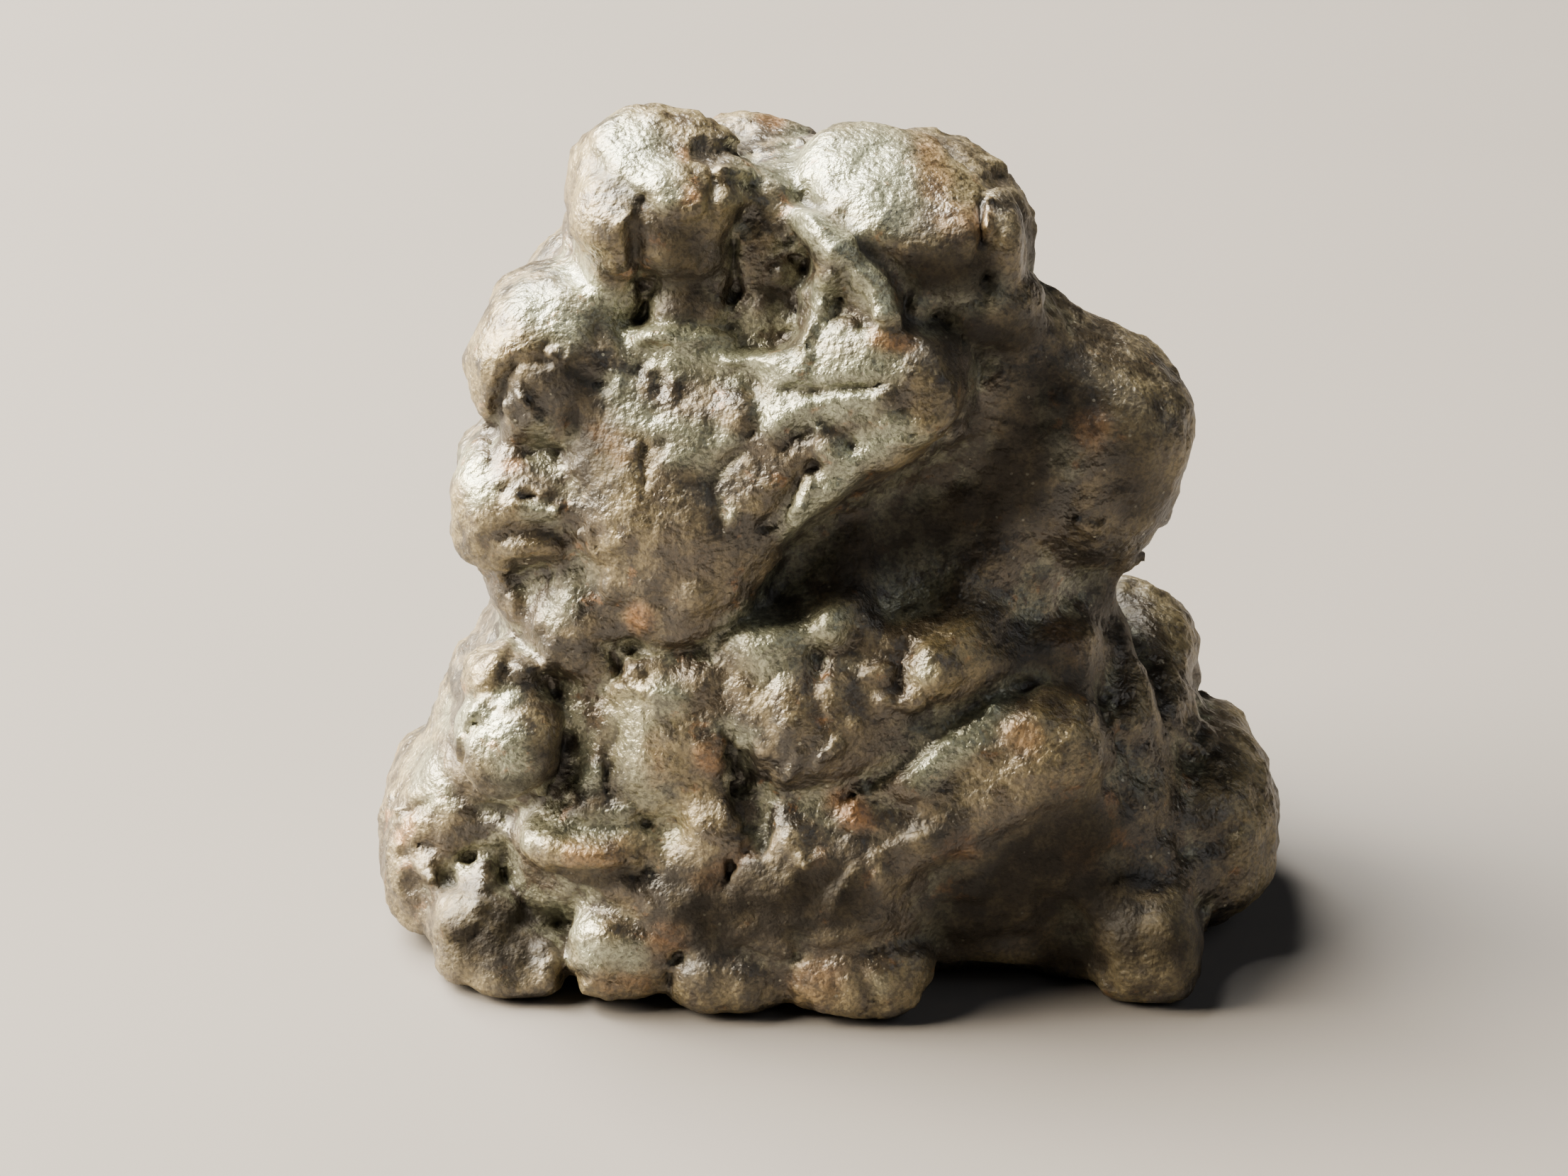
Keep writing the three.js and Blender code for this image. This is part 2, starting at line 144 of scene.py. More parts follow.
def nearest_point(points: np.ndarray, size: float, seed: float) -> np.ndarray:
    """Distance to the nearest of one scattered point in each lattice cell.

    Args:
        points: Places, mm.
        size: Side of a lattice cell, mm.
        seed: Which scatter this is.

    Returns:
        The distances, in cell sides.
    """
    q = points / size
    cell = np.floor(q)
    best = np.full(len(points), np.inf)
    for step in product((-1, 0, 1), repeat=3):
        near = [cell[:, n] + step[n] for n in range(3)]
        spot = scatter(*near, seed)
        gap = sum((q[:, n] - near[n] - spot[n]) ** 2 for n in range(3))
        best = np.minimum(best, gap)
    return np.sqrt(best)


def waves(points: np.ndarray, size: float, seed: float) -> np.ndarray:
    """Wandering smooth values from about -1 to 1.

    (sin x cos y + sin y cos z + sin z cos x) / 1.5 in a frame turned by the seed.

    Args:
        points: Places, mm.
        size: Length of a wave, mm.
        seed: Which pattern this is.

    Returns:
        One value for each place.
    """
    turned = points @ turn_matrix((seed * 47 + 13, seed * 31 + 29, seed * 17 + 41))
    x, y, z = (turned * (2 * math.pi / size)).T
    mixed = np.sin(x + 1.7 * seed) * np.cos(y) + np.sin(y + 0.9 * seed) * np.cos(z)
    return (mixed + np.sin(z + 2.3 * seed) * np.cos(x)) / 1.5


def cloud(points: np.ndarray, size: float, seed: float) -> np.ndarray:
    """Smooth random values from -1 to 1, set at the corners of a lattice and eased between them.

    Each axis is eased by 3 t^2 - 2 t^3.

    Args:
        points: Places, mm.
        size: Side of a lattice cell, mm.
        seed: Which pattern this is.

    Returns:
        One value for each place.
    """
    q = points / size
    cell = np.floor(q)
    t = q - cell
    t = t * t * (3 - 2 * t)
    total = np.zeros(len(points))
    for step in product((0, 1), repeat=3):
        weight = np.prod([t[:, n] if step[n] else 1 - t[:, n] for n in range(3)], axis=0)
        corner = [cell[:, n] + step[n] for n in range(3)]
        total += weight * scatter(*corner, seed, 1)[0]
    return 2 * total - 1


def crumple(points: np.ndarray, size: float, seed: float, layers: int, keep: float) -> np.ndarray:
    """Rounded mounds with sharp creases between them, in layers of halving size.

    Sum of keep^n (|cloud| at size / 2^n - 0.3), whose middle is about nought.

    Args:
        points: Places, mm.
        size: Side of the coarsest lattice, mm.
        seed: Which pattern this is.
        layers: How many layers.
        keep: Height of each layer as a share of the one before.

    Returns:
        One value for each place.
    """
    total = np.zeros(len(points))
    turned = points
    for layer in range(layers):
        total += keep**layer * (np.abs(cloud(turned, size / 2**layer, seed + layer)) - 0.3)
        turned = turned @ turn_matrix((37.0, 23.0, 51.0))
    return total


def linear(colour: str) -> tuple[float, float, float, float]:
    """An sRGB hex colour as linear red, green, blue and alpha.

    Args:
        colour: Six hex digits after a #.

    Returns:
        Linear values with alpha 1.
    """
    parts = [int(colour[n : n + 2], 16) / 255 for n in (1, 3, 5)]
    red, green, blue = (c / 12.92 if c <= 0.04045 else ((c + 0.055) / 1.055) ** 2.4 for c in parts)
    return red, green, blue, 1.0


def add_node(
    tree: bpy.types.NodeTree, kind: str, links: dict | None = None, **settings
) -> bpy.types.Node:
    """Adds a shader node with its settings, socket values and links.

    Args:
        tree: The node tree.
        kind: Kind of shader node, without Blender's prefix.
        links: Socket name or number to either a value or another node's output.
        **settings: Attributes of the node.

    Returns:
        The new node.
    """
    made = tree.nodes.new("ShaderNode" + kind)
    for name, value in settings.items():
        setattr(made, name, value)
    for socket, value in (links or {}).items():
        if isinstance(value, bpy.types.NodeSocket):
            tree.links.new(value, made.inputs[socket])
        else:
            made.inputs[socket].default_value = value
    return made


def make_mesh(name: str, points: np.ndarray, faces: np.ndarray, smooth: bool) -> bpy.types.Object:
    """Puts points and faces of one corner count into a new object at the origin.

    Args:
        name: Name of the object and its mesh.
        points: Corners, mm.
        faces: Corner numbers of each face.
        smooth: Whether faces are shaded smoothly.

    Returns:
        The linked object.
    """
    mesh = bpy.data.meshes.new(name)
    corners = faces.shape[1]
    mesh.vertices.add(len(points))
    mesh.vertices.foreach_set("co", (points * METRES).astype(np.float32).ravel())
    mesh.loops.add(faces.size)
    mesh.loops.foreach_set("vertex_index", faces.astype(np.int32).ravel())
    mesh.polygons.add(len(faces))
    mesh.polygons.foreach_set("loop_start", np.arange(0, faces.size, corners, dtype=np.int32))
    mesh.polygons.foreach_set("use_smooth", np.full(len(faces), smooth))
    mesh.update(calc_edges=True)
    mesh.validate()
    made = bpy.data.objects.new(name, mesh)
    bpy.context.scene.collection.objects.link(made)
    return made


# --------------------------------------------------------------------------------------------
# What the stone is shaped with
# --------------------------------------------------------------------------------------------
@dataclass(frozen=True)
class Lump:
    """A rounded solid that is joined to the stone, or a hollow of that shape.

    Its surface is |x/a|^p + |y/b|^p + |z/c|^p = 1 in its own turned axes.
    """

    name: str
    centre: Triple
    radii: Triple
    turn: Triple
    power: float
    blend: float

    def distance(self, points: np.ndarray) -> np.ndarray:
        """Distance to the surface, to first order: (f - 1) / |gradient of f|.

        Args:
            points: Places, mm, in the last axis.

        Returns:
            Distances, mm, less than nought inside.
        """
        u = np.abs((points - np.array(self.centre)) @ turn_matrix(self.turn)) / np.array(self.radii)
        u = np.maximum(u, 1e-4)
        f = (u**self.power).sum(-1) ** (1 / self.power)
        slope = u ** (self.power - 1) / np.array(self.radii)
        steepness = np.sqrt((slope * slope).sum(-1)) * f ** (1 - self.power)
        return (f - 1) / steepness

    def reach(self) -> float:
        """How far from its centre it can matter, mm."""
        corner = 1.0 if self.power <= ROUND_POWER else BOXY_REACH
        return max(self.radii) * corner + self.blend + SPARE_REACH


class Work(Enum):
    """How a mark changes the ground: signed share of its amount, and fullness of its profile."""

    RIDGE = (1.2, 2.0)
    GROOVE = (-0.85, 2.0)
    BUMP = (1.0, 1.0)
    PIT = (-0.5, 1.0)
    SCARP = (-1.0, 2.0)


@dataclass(frozen=True)
class Mark:
    """Work along a line that is drawn square to the sight line, in mm across and up.

    A ridge, groove, bump or pit changes the height by amount (1 - (gap / width)^2)^fullness.
    A scarp drops the ground by the amount on the right-hand side of its line, and lets it come
    back over the width by (1 - gap / width)^2.
    """

    work: Work
    line: tuple[Pair, ...]
    width: float
    amount: float

    def height(self, across: np.ndarray, up: np.ndarray) -> np.ndarray:
        """Change of height at places on the sight plane.

        Args:
            across: Places to the right, mm.
            up: Places upward, mm.

        Returns:
            Outward change, mm.
        """
        sign, fullness = self.work.value
        gap, side = gap_to_line(across, up, self.line)
        r = np.clip(gap / self.width, 0.0, 1.0)
        if self.work is Work.SCARP:
            edge = SCARP_EDGE + SCARP_SPREAD * self.width
            sunk = np.clip(0.5 + 0.5 * side / edge, 0.0, 1.0)
            return sign * self.amount * sunk * sunk * (3 - 2 * sunk) * (1 - r) ** 2
        return sign * self.amount * (1 - r * r) ** fullness


def gap_to_line(
    across: np.ndarray, up: np.ndarray, line: tuple[Pair, ...]
) -> tuple[np.ndarray, np.ndarray]:
    """Distance from places to a line of straight runs, and on which side of it they lie.

    Args:
        across: Places to the right, mm.
        up: Places upward, mm.
        line: Corners of the line, mm.

    Returns:
        The distance, and the same distance with the left-hand side counted as less than nought.
    """
    gap = np.full(len(across), np.inf)
    side = np.zeros(len(across))
    runs = list(zip(line[:-1], line[1:])) or [(line[0], line[0])]
    for (x0, y0), (x1, y1) in runs:
        dx, dy = x1 - x0, y1 - y0
        length = math.hypot(dx, dy) or 1.0
        along = np.clip(((across - x0) * dx + (up - y0) * dy) / (length * length), 0.0, 1.0)
        ex, ey = across - x0 - along * dx, up - y0 - along * dy
        here = np.hypot(ex, ey)
        right = (ex * dy - ey * dx) / length
        closer = here < gap
        gap = np.where(closer, here, gap)
        side = np.where(closer, right, side)
    return gap, side


class Tint(Enum):
    """What a stain on the skin is, and the name of the mesh attribute that carries it."""

    RUST = "rust"
    OCHRE = "ochre"
    # varnish colour lightened as painted highlight
    VARNISH_HIGHLIGHT = "varnish_highlight"
    # painted shade
    PAINTED_SHADE = "painted_shade"


@dataclass(frozen=True)
class Stain:
    """A soft-edged patch of one tint, along a line that is square to the sight line, in mm."""

    tint: Tint
    line: tuple[Pair, ...]
    width: float
    strength: float

    def amount(self, across: np.ndarray, up: np.ndarray) -> np.ndarray:
        """How strong the stain is at places on the sight plane: (1 - (gap / width)^2)^1.5.

        Args:
            across: Places to the right, mm.
            up: Places upward, mm.

        Returns:
            0 to strength.
        """
        gap, _ = gap_to_line(across, up, self.line)
        r = np.clip(gap / self.width, 0.0, 1.0)
        return self.strength * (1 - r * r) ** 1.5


# --------------------------------------------------------------------------------------------
# Where it is looked at from
# --------------------------------------------------------------------------------------------
@dataclass
class Viewpoint:
    """The camera, and the plane square to its sight line on which marks are drawn."""

    aim: Triple = (-1.72, -0.67, 12.1)
    distance: float = 155.0
    elevation: float = 26.0
    lens: float = 101.1
    sensor: float = 36.0
    clip_near: float = 5.0
    clip_far: float = 20000.0

    def axes(self) -> tuple[np.ndarray, np.ndarray, np.ndarray]:
        """Directions of the view, from the camera's height in degrees above the ground.

        Returns:
            Right, up and forward.
        """
        e = math.radians(self.elevation)
        right = np.array([1.0, 0.0, 0.0])
        up = np.array([0.0, math.sin(e), math.cos(e)])
        forward = np.array([0.0, math.cos(e), -math.sin(e)])
        return right, up, forward

    def eye(self) -> np.ndarray:
        """Where the camera stands, mm."""
        return np.array(self.aim) - self.distance * self.axes()[2]

    def sight(self, points: np.ndarray) -> tuple[np.ndarray, np.ndarray, np.ndarray]:
        """Where points show on the plane through the aim, and how far off they are.

        Each is scaled by distance / depth, as a lens does.

        Args:
            points: Places, mm.

        Returns:
            Millimetres across, millimetres up, and depth along the sight line in mm.
        """
        right, up, forward = self.axes()
        offset = points - self.eye()
        depth = offset @ forward
        scale = self.distance / depth
        return (offset @ right) * scale, (offset @ up) * scale, depth

    def build(self) -> bpy.types.Object:
        """Makes the camera and gives it to the scene.

        Returns:
            The camera.
        """
        data = bpy.data.cameras.new("camera")
        data.sensor_width = self.sensor
        data.lens = self.lens
        data.clip_start = self.clip_near * METRES
        data.clip_end = self.clip_far * METRES
        camera = bpy.data.objects.new("camera", data)
        camera.location = self.eye() * METRES
        forward = mathutils.Vector(self.axes()[2].tolist())
        camera.rotation_euler = forward.to_track_quat("-Z", "Y").to_euler()
        bpy.context.scene.collection.objects.link(camera)
        bpy.context.scene.camera = camera
        return camera


# --------------------------------------------------------------------------------------------
# The block of nodes
# --------------------------------------------------------------------------------------------
def one_piece_table() -> np.ndarray:
    """For each of the 256 ways to fill a cube's corners, whether it splits into several parts.

    Returns:
        One truth value for each way.
    """
    neighbours = [[c ^ 1, c ^ 2, c ^ 4] for c in range(8)]
    split = np.zeros(256, bool)
    for code in range(256):
        for filled in (True, False):
            left = {c for c in range(8) if bool(code >> c & 1) is filled}
            parts = 0
            while left:
                parts += 1
                queue = [left.pop()]
                while queue:
                    for other in neighbours[queue.pop()]:
                        if other in left:
                            left.remove(other)
                            queue.append(other)
            split[code] |= parts > 1
    return split


@dataclass
class Block:
    """A regular block of nodes that each know how far they are from the stone's surface."""

    low: Triple
    high: Triple
    cell: float
    gap: np.ndarray = field(init=False)
    rows: list[np.ndarray] = field(init=False)

    def __post_init__(self) -> None:
        """Lays out the nodes, all of them far outside."""
        self.rows = [np.arange(a, b + self.cell, self.cell) for a, b in zip(self.low, self.high)]
        self.gap = np.full([len(r) for r in self.rows], FAR_OUTSIDE)

    def work_in(self, lump: Lump, hollow: bool) -> None:
        """Joins a lump to the stone, or takes it away.

        Args:
            lump: The form.
            hollow: Whether it is taken away.
        """
        reach = lump.reach()
        window = []
        for row, middle in zip(self.rows, lump.centre):
            start, stop = np.searchsorted(row, (middle - reach, middle + reach))
            window.append(slice(int(start), int(stop)))
        part = tuple(window)
        grid = np.meshgrid(*(row[w] for row, w in zip(self.rows, window)), indexing="ij")
        form = lump.distance(np.stack(grid, -1))
        here = self.gap[part]
        if hollow:
            self.gap[part] = -join_softly(-here, form, lump.blend)
        else:
            self.gap[part] = join_softly(here, form, lump.blend)

    def near(self, limit: float) -> tuple[tuple[np.ndarray, ...], np.ndarray]:
        """Nodes nearer to the surface than the limit: numbers along each axis, and places, mm."""
        index = np.nonzero(np.abs(self.gap) < limit)
        return index, np.stack([row[i] for row, i in zip(self.rows, index)], -1)

    def stand_on(self, blend: float) -> None:
        """Cuts everything below the ground flat, with a worn edge."""
        ground = np.broadcast_to(self.rows[2][None, None, :], self.gap.shape)
        self.gap = -join_softly(-self.gap, ground, blend)

    def make_one_piece(self) -> None:
        """Fills cells whose corners would split the surface, so that it is closed and simple."""
        split = one_piece_table()
        for _ in range(MENDING_ROUNDS):
            inside = self.gap < 0
            code = np.zeros([n - 1 for n in self.gap.shape], np.uint8)
            for bit in range(8):
                code |= inside[self.corner(bit)].astype(np.uint8) << bit
            bad = split[code]
            if not bad.any():
                break
            for bit in range(8):
                part = self.gap[self.corner(bit)]
                part[bad] = np.minimum(part[bad], -0.05 * self.cell)

    def corner(self, bit: int) -> tuple[slice, ...]:
        """The slices that give one corner of every cell, 0 to 7, with one bit for each axis."""
        return tuple(slice(bit >> n & 1, self.gap.shape[n] - 1 + (bit >> n & 1)) for n in range(3))

    def sample(self, values: np.ndarray, points: np.ndarray) -> np.ndarray:
        """Values between the nodes, weighted by the volume opposite each corner.

        Args:
            values: One value for each node.
            points: Places, mm.

        Returns:
            One value for each place.
        """
        q = (points - np.array([r[0] for r in self.rows])) / self.cell
        start = np.clip(np.floor(q).astype(int), 0, np.array(values.shape) - 2)
        f = q - start
        total = np.zeros(len(points))
        for step in product((0, 1), repeat=3):
            weight = np.prod([f[:, n] if step[n] else 1 - f[:, n] for n in range(3)], axis=0)
            total += weight * values[tuple(start[:, n] + step[n] for n in range(3))]
        return total

    def slope(self, points: np.ndarray) -> np.ndarray:
        """Outward direction, from differences half a cell to each side.

        Args:
            points: Places, mm.

        Returns:
            The slope of the distance along X, Y and Z at each place.
        """
        parts = []
        for step in np.eye(3) * 0.5 * self.cell:
            ahead, behind = (self.sample(self.gap, points + way * step) for way in (1, -1))
            parts.append(ahead - behind)
        return np.stack(parts, -1) / self.cell

    def skin(self) -> tuple[np.ndarray, np.ndarray]:
        """The surface, with one corner in each cell that it passes through.

        A corner is the mean of the places where the surface crosses the cell's edges, and each
        crossed edge between nodes gives one four-sided face through the cells round it.

        Returns:
            Corners in mm, and the four corner numbers of each face, facing outwards.
        """
        count_in = [n - 1 for n in self.gap.shape]
        total = np.zeros(count_in + [3])
        count = np.zeros(count_in)
        inside = self.gap < 0
        number = [np.arange(n) for n in self.gap.shape]
        for axis in range(3):
            lower = tuple(slice(0, -1) if n == axis else slice(None) for n in range(3))
            upper = tuple(slice(1, None) if n == axis else slice(None) for n in range(3))
            a, b = self.gap[lower], self.gap[upper]
            crossed = inside[lower] != inside[upper]
            share = np.where(crossed, a / np.where(crossed, a - b, 1.0), 0.0)
            places = (number[n][lower[n]].astype(float) for n in range(3))
            place = np.meshgrid(*places, indexing="ij")
            place[axis] = place[axis] + share
            sides = [n for n in range(3) if n != axis]
            for shift in product((0, 1), repeat=2):
                part = [slice(None)] * 3
                for n, s in zip(sides, shift):
                    part[n] = slice(s, self.gap.shape[n] - 1 + s)
                hit = crossed[tuple(part)]
                count += hit
                for n in range(3):
                    total[..., n] += np.where(hit, place[n][tuple(part)], 0.0)
        used = count > 0
        label = np.full(count_in, -1)
        label[used] = np.arange(int(used.sum()))
        origin = np.array([r[0] for r in self.rows])
        points = total[used] / count[used][:, None] * self.cell + origin
        return points, np.concatenate([self.faces(axis, inside, label) for axis in range(3)])

    def faces(self, axis: int, inside: np.ndarray, label: np.ndarray) -> np.ndarray:
        """Faces across the node edges that run along one axis.

        Args:
            axis: 0, 1 or 2.
            inside: Which nodes are in the stone.
            label: Corner number of each cell, or -1.

        Returns:
            Four corner numbers for each face.
        """
        sides = [n for n in range(3) if n != axis]
        keep = [slice(1, -1) if n in sides else slice(None) for n in range(3)]
        lower, upper = list(keep), list(keep)
        lower[axis], upper[axis] = slice(0, -1), slice(1, None)
        a, b = inside[tuple(lower)], inside[tuple(upper)]
        spot = np.argwhere(a != b)
        leaving = a[a != b]
        spot[:, sides] += 1

        def cell(s: int, t: int) -> np.ndarray:
            """Corner number of the cell that lies s and t back from the edge.

            Args:
                s: Cells back along the first side.
                t: Cells back along the second.

            Returns:
                Corner numbers.
            """
            moved = spot.copy()
            moved[:, sides] -= (s, t)
            return label[tuple(moved.T)]

        quads = np.stack([cell(1, 1), cell(0, 1), cell(0, 0), cell(1, 0)], -1)
        outward = leaving if axis != 1 else ~leaving
        return np.where(outward[:, None], quads, quads[:, ::-1])

    def fullness(self, radius: float) -> np.ndarray:
        """Share of stone in a box round each node: over a half in a recess, less on a knob.

        Args:
            radius: Half the side of the box, mm.

        Returns:
            0 to 1 for each node.
        """
        reach = max(1, round(radius / self.cell))
        share = np.clip(0.5 - self.gap / self.cell, 0.0, 1.0)
        for n in range(3):
            share = np.moveaxis(share, n, 0)
            padded = np.concatenate([share[:1]] * (reach + 1) + [share] + [share[-1:]] * reach)
            running = np.cumsum(padded, axis=0)
            share = (running[2 * reach + 1 :] - running[: -2 * reach - 1]) / (2 * reach + 1)
            share = np.moveaxis(share, 0, n)
        return share


# --------------------------------------------------------------------------------------------
# The stone, region by region
# --------------------------------------------------------------------------------------------
@dataclass(frozen=True)
class Region:
    """A part of the stone: its forms in mm, and the work and the stains on its front."""

    name: str = "region"
    lumps: tuple[Lump, ...] = ()
    hollows: tuple[Lump, ...] = ()
    marks: tuple[Mark, ...] = ()
    stains: tuple[Stain, ...] = ()

    def build_up(self, block: Block) -> None:
        """Joins this region's lumps to the stone."""
        for lump in self.lumps:
            block.work_in(lump, hollow=False)

    def hollow_out(self, block: Block) -> None:
        """Takes this region's hollows away."""
        for lump in self.hollows:
            block.work_in(lump, hollow=True)

    def work_over(self, across: np.ndarray, up: np.ndarray) -> np.ndarray:
        """Sum of the changes of height that this region's marks make.

        Args:
            across: Places to the right on the sight plane, mm.
            up: Places upward on it, mm.

        Returns:
            Outward change at each place, mm.
        """
        change = np.zeros(len(across))
        for mark in self.marks:
            xs, ys = zip(*mark.line)
            near = (across > min(xs) - mark.width) & (across < max(xs) + mark.width)
            near &= (up > min(ys) - mark.width) & (up < max(ys) + mark.width)
            change[near] += mark.height(across[near], up[near])
        return change

    def tint(self, across: np.ndarray, up: np.ndarray, kind: Tint) -> np.ndarray:
        """Strength of one tint from this region's stains.

        Args:
            across: Places to the right on the sight plane, mm.
            up: Places upward on it, mm.
            kind: Which tint.

        Returns:
            Strength at each place.
        """
        total = np.zeros(len(across))
        for stain in self.stains:
            if stain.tint is kind:
                total = np.maximum(total, stain.amount(across, up))
        return total


@dataclass(frozen=True)
class Core(Region):
    """The body that carries everything else."""

    name: str = "core"
    lumps: tuple[Lump, ...] = (
        Lump("base", (-0.6, 1.8, 3.0), (13.4, 9.0, 8.0), (0, 0, -6), 2.6, 1.0),
        Lump("lower dome", (0.4, -0.2, 7.6), (8.6, 7.6, 6.8), (0, 0, -12), 2.4, 1.4),
        Lump("left body", (-7.0, -0.8, 6.2), (5.5, 6.8, 6.6), (-12, 14, 10), 2.6, 1.0),
        Lump("waist", (-0.9, 1.0, 13.0), (10.0, 5.8, 6.0), (0, 0, 0), 2.4, 1.6),
        Lump("chest", (-0.4, 1.2, 19.0), (9.6, 5.2, 5.6), (0, 0, 0), 2.5, 1.6),
        Lump("neck", (-0.8, 1.4, 24.6), (7.4, 4.0, 3.4), (0, 0, 0), 2.5, 1.4),
    )
    hollows: tuple[Lump, ...] = (
        Lump("underside hollow", (-0.6, 0.6, -1.6), (9.4, 6.2, 2.6), (0, 0, -8), 2.4, 0.6),
    )


